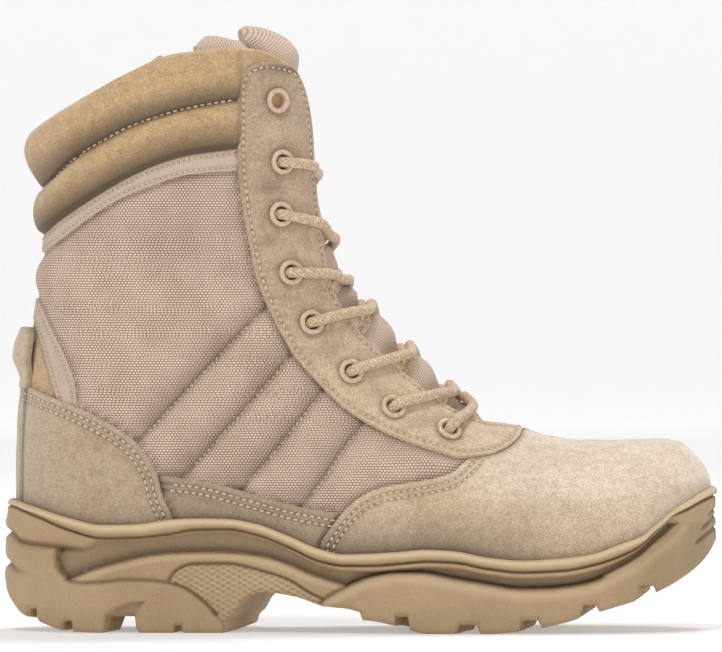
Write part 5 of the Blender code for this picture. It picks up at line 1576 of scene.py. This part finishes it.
def make_sole():
    x = sole_stations()
    bend = column(FOOT_WIDTHS, "bend", x)
    outer, inner = (bend + side * half_width(x, column(SOLE, "rim", x), side) for side in (LATERAL, MEDIAL))
    for side in (outer, inner):
        side[[0, -1]] = bend[[0, -1]]
    loop_x = np.concatenate([x, x[-2:0:-1]])
    loop_y = np.concatenate([outer, inner[-2:0:-1]])
    size = len(loop_x)
    medial = np.arange(size) >= len(x)
    run_x, run_y = (np.roll(v, -1) - np.roll(v, 1) for v in (loop_x, loop_y))
    out_x, out_y = -run_y / np.hypot(run_x, run_y), run_x / np.hypot(run_x, run_y)
    for _ in range(2):
        out_x, out_y = (np.convolve(np.concatenate([v[-2:], v, v[:2]]), np.ones(5) / 5, "valid")
                        for v in (out_x, out_y))
        length = np.hypot(out_x, out_y)
        out_x, out_y = out_x / length, out_y / length
    out = np.stack([out_x, out_y, 0 * out_x], axis=1)
    tread, groove, rim, proud = (column(SOLE, name, loop_x) for name in ("tread", "groove", "rim", "proud"))
    low = underside(loop_x + out_x * (proud - 1), loop_y + out_y * (proud - 1))
    plain = np.maximum(np.minimum(tread, low), low - 14)
    heights = [np.maximum(plain + (groove + NEAR_GROOVE[0] - plain) * t, low + ROW_LEAST * k)
               for k, t in enumerate(np.linspace(0, 1, SOLE_ROWS)[:-1])]
    heights += [groove + by for by in NEAR_GROOVE]
    last = NEAR_GROOVE[-1]
    heights += [groove + last + (rim - RIM_ROUND - groove - last) * t for t in (0.33, 0.66, 1)]
    seen_x = loop_x + out_x * proud
    seen_x = np.where(medial, lateral_twin(seen_x), seen_x)
    points, grains, shades = [], [], []
    for z in heights:
        relief, grain, dark = sole_relief(seen_x, z, low)
        far = proud + relief
        points.append(np.stack([loop_x + out_x * far, loop_y + out_y * far, z], axis=1))
        grains.append(grain)
        shades.append(dark)
    outer_face = points[-1] - out * RIM_ROUND
    # Painted highlight on the rim's round, strongest where it faces out, turning to a little painted shade
    # past its top.
    for turn in np.radians((15, 30, 45, 60, 75, 90, 105)):
        arc = out * (RIM_ROUND * math.cos(turn))
        arc[:, 2] = RIM_ROUND * math.sin(turn)
        points.append(outer_face + arc)
        shades.append(np.full(size, RIM_LIGHT * math.cos(turn)))
    for inset, drop in ((0.8, 0.6), (-0.6, 1.2), (-2.4, 9.0)):
        points.append(np.stack([loop_x + out_x * inset, loop_y + out_y * inset, rim - drop], axis=1))
    levels = len(points)
    number = np.arange(levels * size).reshape(levels, size)
    after = np.roll(number, -1, axis=1)
    faces = [stacked((number[:-1], after[:-1], after[1:], number[1:]))]
    points = np.concatenate(points)
    for ring, steps in ((0, UNDERSIDE_STEPS), (levels - 1, 2)):
        quads, tris, between = span(points, ring * size, size, np.linspace(0, 1, steps + 1), dig=ring == 0)
        points = np.concatenate([points, between])
        faces += [quads, tris]
    marks = ((name, np.concatenate(values)) for name, values in (("grain", grains), ("shade", shades)))
    sole = build("sole_moulding", points, faces, None, 40)
    for name, values in marks:
        mark(sole, name, np.concatenate([values, np.zeros(len(points) - len(values))]))
    return sole


# Insole

INSOLE_ENDS = (-143.5, 141.5)
INSOLE_ROWS = 160
INSOLE_ACROSS = 30


def make_insole():
    x = eased_places(*INSOLE_ENDS, INSOLE_ROWS)
    share = np.linspace(-1, 1, INSOLE_ACROSS)
    bed = column(SOLE, "bed", x)
    lateral, medial = (np.maximum(half_width(x, bed + 4, side) - WALL - 0.8, 0.3)[:, None]
                       for side in (LATERAL, MEDIAL))
    y = column(FOOT_WIDTHS, "bend", x)[:, None] + np.where(share < 0, share * lateral, share * medial)
    cup = 1.8 * np.abs(share)[None, :] ** 5 * ease((x[:, None] - 40) / -60)
    top = bed[:, None] + GAP + WALL + 0.3 + INSOLE + cup
    flat = np.stack([np.broadcast_to(x[:, None], y.shape), y, top], -1).reshape(-1, 3)
    a, b, c, d = cells(np.arange(y.size).reshape(y.shape))
    sheet = Sheet(stacked((a, b, c), (a, c, d)), point=flat, normal=np.tile([0.0, 0.0, 1.0], (len(flat), 1)))
    return shell("insole_felt", sheet, 0.0, -INSOLE + 0.3, flat[:, :2])


# Materials

def linear(r, g, b):
    """A colour given as it looks on screen, from 0 to 255, as linear light."""
    def channel(value):
        value = value / 255
        return value / 12.92 if value <= 0.04045 else ((value + 0.055) / 1.055) ** 2.4
    return (channel(r), channel(g), channel(b), 1.0)


class Signal:
    """An output of a node, with sums and products of it as new nodes."""

    def __init__(self, graph, socket):
        self.graph = graph
        self.socket = socket

    def __add__(self, other):
        return self.graph.math("ADD", self, other)

    def __sub__(self, other):
        return self.graph.math("SUBTRACT", self, other)

    def __mul__(self, other):
        return self.graph.math("MULTIPLY", self, other)

    def __truediv__(self, other):
        return self.graph.math("DIVIDE", self, other)


class Graph:
    """Nodes of one material, added by short calls."""

    def __init__(self, name, roughness, **settings):
        self.material = bpy.data.materials.new(name)
        self.material.use_nodes = True
        self.nodes = self.material.node_tree.nodes
        self.links = self.material.node_tree.links
        self.shader = self.nodes["Principled BSDF"]
        self.shader.inputs["Roughness"].default_value = roughness
        for socket, value in settings.items():
            self.shader.inputs[socket.replace("_", " ")].default_value = value

    def put(self, socket, value):
        """Sets a socket to a number or a screen colour, or links a signal to it."""
        if isinstance(value, Signal):
            self.links.new(value.socket, socket)
        else:
            socket.default_value = linear(*value) if isinstance(value, tuple) else value

    def node(self, kind, inputs, output=0, **settings):
        """An output of a new node with given inputs and settings."""
        node = self.nodes.new("ShaderNode" + kind)
        for name, value in settings.items():
            setattr(node, name, value)
        for name, value in inputs.items():
            self.put(node.inputs[name], value)
        return Signal(self, node.outputs[output])

    def math(self, operation, *values):
        return self.node("Math", dict(enumerate(values)), operation=operation)

    def place(self):
        """Places on the piece, in millimetres."""
        coordinate = self.node("TexCoord", {}, "Object")
        return self.node("VectorMath", {0: coordinate, "Scale": 1 / MM}, operation="SCALE")

    def flat(self):
        """The piece's own map, as two numbers in millimetres."""
        coordinate = self.node("UVMap", {}, uv_map="weave")
        node = self.nodes.new("ShaderNodeSeparateXYZ")
        self.put(node.inputs[0], coordinate)
        return [Signal(self, node.outputs[k]) * (1 / MM) for k in range(2)]

    def noise(self, vector, size, detail=2.0, roughness=0.5):
        return self.node("TexNoise", {"Vector": vector, "Scale": 1 / size, "Detail": detail,
                                      "Roughness": roughness}, "Fac")

    def ramp(self, value, *stops):
        """Colours by a number: (position, screen colour) pairs."""
        node = self.nodes.new("ShaderNodeValToRGB")
        self.put(node.inputs[0], value)
        elements = node.color_ramp.elements
        while len(elements) < len(stops):
            elements.new(0.5)
        for element, (position, color) in zip(elements, stops):
            element.position = position
            element.color = linear(*color)
        return Signal(self, node.outputs[0])

    def mix(self, share, first, second):
        return self.node("Mix", {"Factor": share, 6: first, 7: second}, 2, data_type="RGBA")

    def spread(self, value, low, high):
        """A number between low and high, brought to between 0 and 1."""
        return self.node("MapRange", {"Value": value, "From Min": low, "From Max": high})

    def attribute(self, name):
        return self.node("Attribute", {}, "Fac", attribute_name=name)

    def color(self, value):
        self.put(self.shader.inputs["Base Color"], value)

    def shaded_color(self, value, dark, share):
        """A colour that falls to a share of a dark one where the piece is marked with painted shade."""
        self.color(self.mix(self.attribute("shade"), value, tuple(c * share for c in dark)))

    def bump(self, height, depth_mm):
        normal = self.node("Bump", {"Height": height, "Distance": depth_mm * MM})
        self.put(self.shader.inputs["Normal"], normal)


NAP_HIGHLIGHT = (250, 240, 224)
ROWS_BELOW = 4000


def suede(name, shade, light, dark, nap=0.22, sheen=0.35, pale=NAP_HIGHLIGHT):
    """Short nap: fine grain in height and tone, with soft patches where it is brushed; painted light where
    the piece is marked pale, and painted shade where it is marked shaded.
    """
    graph = Graph(name, 0.93, Sheen_Weight=sheen, Sheen_Roughness=0.55, Specular_IOR_Level=0.25)
    place = graph.place()
    patches = graph.noise(place, 30, 3, 0.55)
    brushed = graph.noise(place, 4, 3, 0.6)
    grain = graph.noise(place, 0.75, 3, 0.75)
    tone = patches * 0.18 + (brushed * 0.2 + grain * 0.62)
    nap_tone = graph.ramp(tone, (0.415, dark), (0.5, shade), (0.585, light))
    # Painted light: towards a paler colour where the piece is marked pale.
    painted_light_tone = graph.attribute("pale"), nap_tone, graph.ramp(tone, (0.39, shade), (0.61, pale))
    graph.shaded_color(graph.mix(*painted_light_tone), dark, 0.52)
    graph.bump(grain + brushed * 0.6, nap)
    return graph.material


def basket_weave(name, pitch_u, pitch_v, gap, yarn, bright, depth=0.28):
    """Staggered yarns, each a small pillow, with a painted highlight at its crown and painted shade between
    yarns and where the piece is marked shaded.
    """
    graph = Graph(name, 0.78, Sheen_Weight=0.15, Sheen_Roughness=0.4, Specular_IOR_Level=0.35)
    u, v = graph.flat()
    row = v / pitch_v
    odd = graph.math("FLOOR", graph.math("MODULO", row + ROWS_BELOW, 2.0)) * 0.5
    along = graph.math("FRACT", u / pitch_u + odd)
    up = graph.math("FRACT", row)
    crown_u = graph.math("SINE", along * math.pi)
    crown_v = graph.math("SINE", up * math.pi)
    crown = graph.math("POWER", crown_u * crown_v, 0.6)
    place = graph.place()
    patches = graph.noise(place, 18, 3, 0.6)
    fibre = graph.noise(place, 0.35, 2, 0.6)
    woven = graph.ramp(crown * 0.8 + fibre * 0.25, (0.25, gap), (0.6, yarn), (0.95, bright))
    worn = graph.mix(0.12, woven, graph.ramp(patches, (0.35, gap), (0.65, bright)))
    graph.shaded_color(worn, gap, 0.6)
    graph.bump(crown + fibre * 0.3, depth)
    return graph.material


def tape_weave(name, dark, light):
    graph = Graph(name, 0.8, Sheen_Weight=0.15, Sheen_Roughness=0.4)
    u, v = graph.flat()
    rib = graph.math("ABSOLUTE", graph.math("SINE", (u + v * 0.35) * (math.pi / 0.9)))
    cross = graph.math("ABSOLUTE", graph.math("SINE", v * (math.pi / 0.7)))
    height = rib * cross
    fibre = graph.noise(graph.place(), 0.4, 2, 0.6)
    # Painted shade in the hollows of the weave and where the piece is marked shaded; paler on the ribs.
    graph.shaded_color(graph.ramp(height * 0.6 + fibre * 0.4, (0.2, dark), (0.75, light)), dark, 0.6)
    graph.bump(height, 0.12)
    return graph.material


RUBBER_HIGHLIGHT = (222, 198, 160)


def rubber(name, shade, light, dark):
    """Moulded rubber: a fine grain, a coarse one on the band, a painted highlight where its shade is below 0
    and painted shade where it is above 0.
    """
    graph = Graph(name, 0.58, Specular_IOR_Level=0.42)
    place = graph.place()
    patches = graph.noise(place, 30, 3, 0.6)
    fine = graph.noise(place, 0.4, 2, 0.6)
    coarse = graph.noise(place, 1.1, 2, 0.5)
    band = graph.attribute("grain")
    base = graph.ramp(patches * 0.35 + fine * 0.65, (0.35, dark), (0.5, shade), (0.65, light))
    speckled = graph.mix(graph.spread(coarse, 0.35, 0.65), dark, shade)
    plain = graph.mix(band * 0.6, base, speckled)
    # Painted highlight where the shade mark is below 0.
    raised = graph.mix(graph.attribute("shade") * -1.0, plain, RUBBER_HIGHLIGHT)
    graph.shaded_color(raised, dark, 0.55)
    graph.bump(fine * 0.12 + coarse * band * 0.9, 0.4)
    return graph.material


def painted(name, shade):
    graph = Graph(name, 0.38, Coat_Weight=0.3, Coat_Roughness=0.25, Specular_IOR_Level=0.5)
    speck = graph.noise(graph.place(), 1.5, 3, 0.6)
    dark, light = (tuple(min(c + by, 255) for c in shade) for by in (-16, 10))
    graph.color(graph.ramp(speck, (0.35, dark), (0.65, light)))
    graph.bump(speck, 0.05)
    return graph.material


BRAID_STRANDS = 8
BRAID_PITCH = 1.9


def braid(name, dark, shade, bright):
    """Round braid: strands that wind both ways, a few of them lighter."""
    graph = Graph(name, 0.72, Sheen_Weight=0.2, Sheen_Roughness=0.4)
    angle, length = graph.flat()
    wound = angle * (BRAID_STRANDS / (LACE / 2))
    run = length * (2 * math.pi / BRAID_PITCH)
    one = graph.math("SINE", wound + run)
    other = graph.math("SINE", wound - run)
    height = graph.math("MAXIMUM", one, other)
    fibre = graph.noise(graph.place(), 0.35, 2, 0.6)
    speck = graph.noise(graph.place(), 1.3, 1, 0.5)
    # Painted shade between the strands and a painted highlight on their crowns.
    woven = graph.ramp(height * 0.35 + fibre * 0.5, (0.05, dark), (0.45, shade), (0.9, bright))
    graph.color(graph.mix(graph.spread(speck, 0.52, 0.64), woven, bright))
    graph.bump(height + fibre * 0.5, 0.14)
    return graph.material


def cloth(name, shade, light, depth=0.25):
    """Plain lining cloth or felt."""
    graph = Graph(name, 0.9, Sheen_Weight=0.2, Sheen_Roughness=0.5)
    place = graph.place()
    fibre = graph.noise(place, 0.5, 2, 0.7)
    patches = graph.noise(place, 12.8, 3, 0.6)
    graph.color(graph.ramp(fibre * 0.5 + patches * 0.5, (0.35, shade), (0.65, light)))
    graph.bump(fibre, depth)
    return graph.material


def wear(obj, material):
    obj.data.materials.clear()
    obj.data.materials.append(material)


# Stage, light and camera

NEAR_GLOW = 0.33
FAR_GLOW = 0.6
GLOW_FROM = 0.1
GLOW_TO = 0.6
FLOOR_SIDES = 96
FLOOR_RINGS = (0.3, 0.7, 1.5, 3.0, 7.5)
CURVE = 1.5
WALL_TOP = 5.0
PAPER = (0.6, 0.6, 0.6, 1)
PAPER_GLOW = (1, 0.99, 0.99, 1)


def backdrop():
    """A pale round floor that curves up into a wall far away on every side."""
    flat = FLOOR_RINGS[-1]
    profile = [(radius, 0.0) for radius in FLOOR_RINGS]
    profile += [(flat + CURVE * math.sin(a), CURVE - CURVE * math.cos(a))
                for a in np.linspace(0.1, math.pi / 2, 14)]
    profile.append((flat + CURVE, WALL_TOP))
    turns = np.linspace(0, 2 * math.pi, FLOOR_SIDES, endpoint=False)
    points = [(0, 0, 0)]
    points += [(r / MM * math.cos(t), r / MM * math.sin(t), z / MM) for r, z in profile for t in turns]
    numbers = 1 + np.arange(len(profile) * FLOOR_SIDES).reshape(-1, FLOOR_SIDES)
    after = np.roll(numbers, -1, axis=1)
    faces = [stacked((0 * numbers[0], numbers[0], after[0])),
             stacked((numbers[:-1], numbers[1:], after[1:], after[:-1]))]
    floor = build("studio_floor", points, faces, smooth=180)
    graph = Graph("studio_paper", 0.9)
    graph.shader.inputs["Base Color"].default_value = PAPER
    # Painted light: the paper glows, weaker near the boot, where the lamps' shadows show, and stronger far
    # away.
    graph.shader.inputs["Emission Color"].default_value = PAPER_GLOW
    length = graph.node("VectorMath", {0: graph.place()}, "Value", operation="LENGTH")
    away = graph.spread(length, GLOW_FROM / MM, GLOW_TO / MM)
    graph.put(graph.shader.inputs["Emission Strength"], away * (FAR_GLOW - NEAR_GLOW) + NEAR_GLOW)
    wear(floor, graph.material)
    return floor


def lamp(name, place, aim_at, size, power, color=(1, 1, 1)):
    light = bpy.data.lights.new(name, "AREA")
    light.shape = "RECTANGLE"
    light.size, light.size_y = size
    light.energy = power
    light.color = color
    obj = bpy.data.objects.new(name, light)
    bpy.context.scene.collection.objects.link(obj)
    obj.location = place
    obj.rotation_euler = (Vector(aim_at) - Vector(place)).to_track_quat("-Z", "Y").to_euler()
    return obj


VIEW_DISTANCE = 3.6
FRAME_WIDTH = 0.3108
VIEW_HEIGHT = 0.1306
VIEW_SIDE = -0.0004
SENSOR = 36


def camera():
    """A long lens square to the outer side."""
    data = bpy.data.cameras.new("camera")
    data.sensor_width = SENSOR
    data.lens = SENSOR * VIEW_DISTANCE / FRAME_WIDTH
    data.clip_end = 30
    obj = bpy.data.objects.new("camera", data)
    bpy.context.scene.collection.objects.link(obj)
    obj.location = (VIEW_SIDE, -VIEW_DISTANCE, VIEW_HEIGHT)
    obj.rotation_euler = (math.pi / 2, 0, 0)
    bpy.context.scene.camera = obj


camera()
backdrop()
bpy.context.scene.view_settings.view_transform = "Standard"
lamp("key", (-0.5, -1.5, 2.9), (0, 0, 0.12), (1.0, 1.0), 42)
lamp("fill", (1.2, -3.0, 0.9), (0, 0, 0.12), (1.6, 1.6), 5)
lamp("top", (0.5, 1.1, 2.7), (0, 0, 0.1), (0.9, 0.9), 44)
world = bpy.data.worlds.new("studio")
world.use_nodes = True
world.node_tree.nodes["Background"].inputs["Color"].default_value = (0.95, 0.96, 1, 1)
world.node_tree.nodes["Background"].inputs["Strength"].default_value = 0.14
bpy.context.scene.world = world


# The dressed boot

def dress(piece, material, slot, *nodes):
    """A piece on the boot's one body, with the nodes that it replaces hidden; the slot is not used."""
    wear(piece, material)
    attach(piece, "root")
    if nodes:
        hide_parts(*nodes)
    return piece


SUEDE = suede("suede_sand", (203, 178, 148), (222, 201, 172), (183, 157, 128))
EYESTAY_SUEDE = suede("suede_eyestay", (186, 161, 134), (204, 180, 153), (165, 140, 114),
                      pale=(250, 224, 188))
NUBUCK = suede("nubuck_collar", (188, 158, 118), (204, 176, 138), (168, 138, 100), nap=0.08, sheen=0.25)
WEAVE = basket_weave("nylon_weave", 1.5, 1.1, (122, 94, 76), (204, 174, 152), (250, 228, 210))
# The tongue's nylon: a finer weave, lighter than the quarter's partly as painted light against the shade
# between the eyestays.
TONGUE_WEAVE = basket_weave("tongue_weave", 1.25, 0.95, (158, 128, 106), (220, 193, 172), (242, 222, 204))
TAPE_WEAVE = tape_weave("tape_weave", (188, 164, 146), (214, 194, 176))
RUBBER = rubber("tan_rubber", (176, 149, 113), (186, 160, 124), (160, 133, 98))
PAINT = painted("eyelet_paint", (205, 180, 155))
BRAID = braid("lace_braid", (174, 144, 114), (202, 173, 142), (224, 201, 173))
THREAD = cloth("thread", (198, 173, 143), (226, 204, 176), depth=0.1)
LINING = cloth("lining_cloth", (142, 124, 104), (166, 148, 126))
FELT = cloth("insole_felt", (112, 100, 86), (134, 120, 104))

dress(make_sole(), RUBBER, "sole_rubber", "outsole", "midsole")
dress(make_quarter(), WEAVE, "nylon", "upper")
dress(make_lining(), LINING, "nylon")
dress(make_vamp(), SUEDE, "suede", "vamp")
for strip, node in zip(make_shank(), ("shank_strip_lateral", "shank_strip_medial")):
    dress(strip, SUEDE, "suede", node)
dress(make_counter(), SUEDE, "suede", "heel_counter")
dress(make_eyestay(), EYESTAY_SUEDE, "eyestay_suede", "eyestay")
dress(make_tape("collar_band", "tape"), TAPE_WEAVE, "tape", "collar_tape")
dress(make_tape("ankle_band", "ankle"), TAPE_WEAVE, "tape", "ankle_tape")
dress(make_back_panel(), NUBUCK, "collar_leather")
dress(make_tab(), SUEDE, "collar_leather", "heel_tab")
dress(make_collar(), NUBUCK, "collar_leather", "collar_pad")
dress(make_tongue(), TONGUE_WEAVE, "nylon", "tongue")
dress(make_insole(), FELT, "insole_foam", "insole")
for ring, node in make_eyelets():
    dress(ring, PAINT, "eyelet_metal", node)
dress(make_lace(), BRAID, "lace", "lace_lowest_bar",
      *[f"lace_crossing_{k + 1}" for k in range(FIRST_LACED, len(EYELETS) - 1)])
dress(make_stitches("stitching", STITCHES), THREAD, "suede")
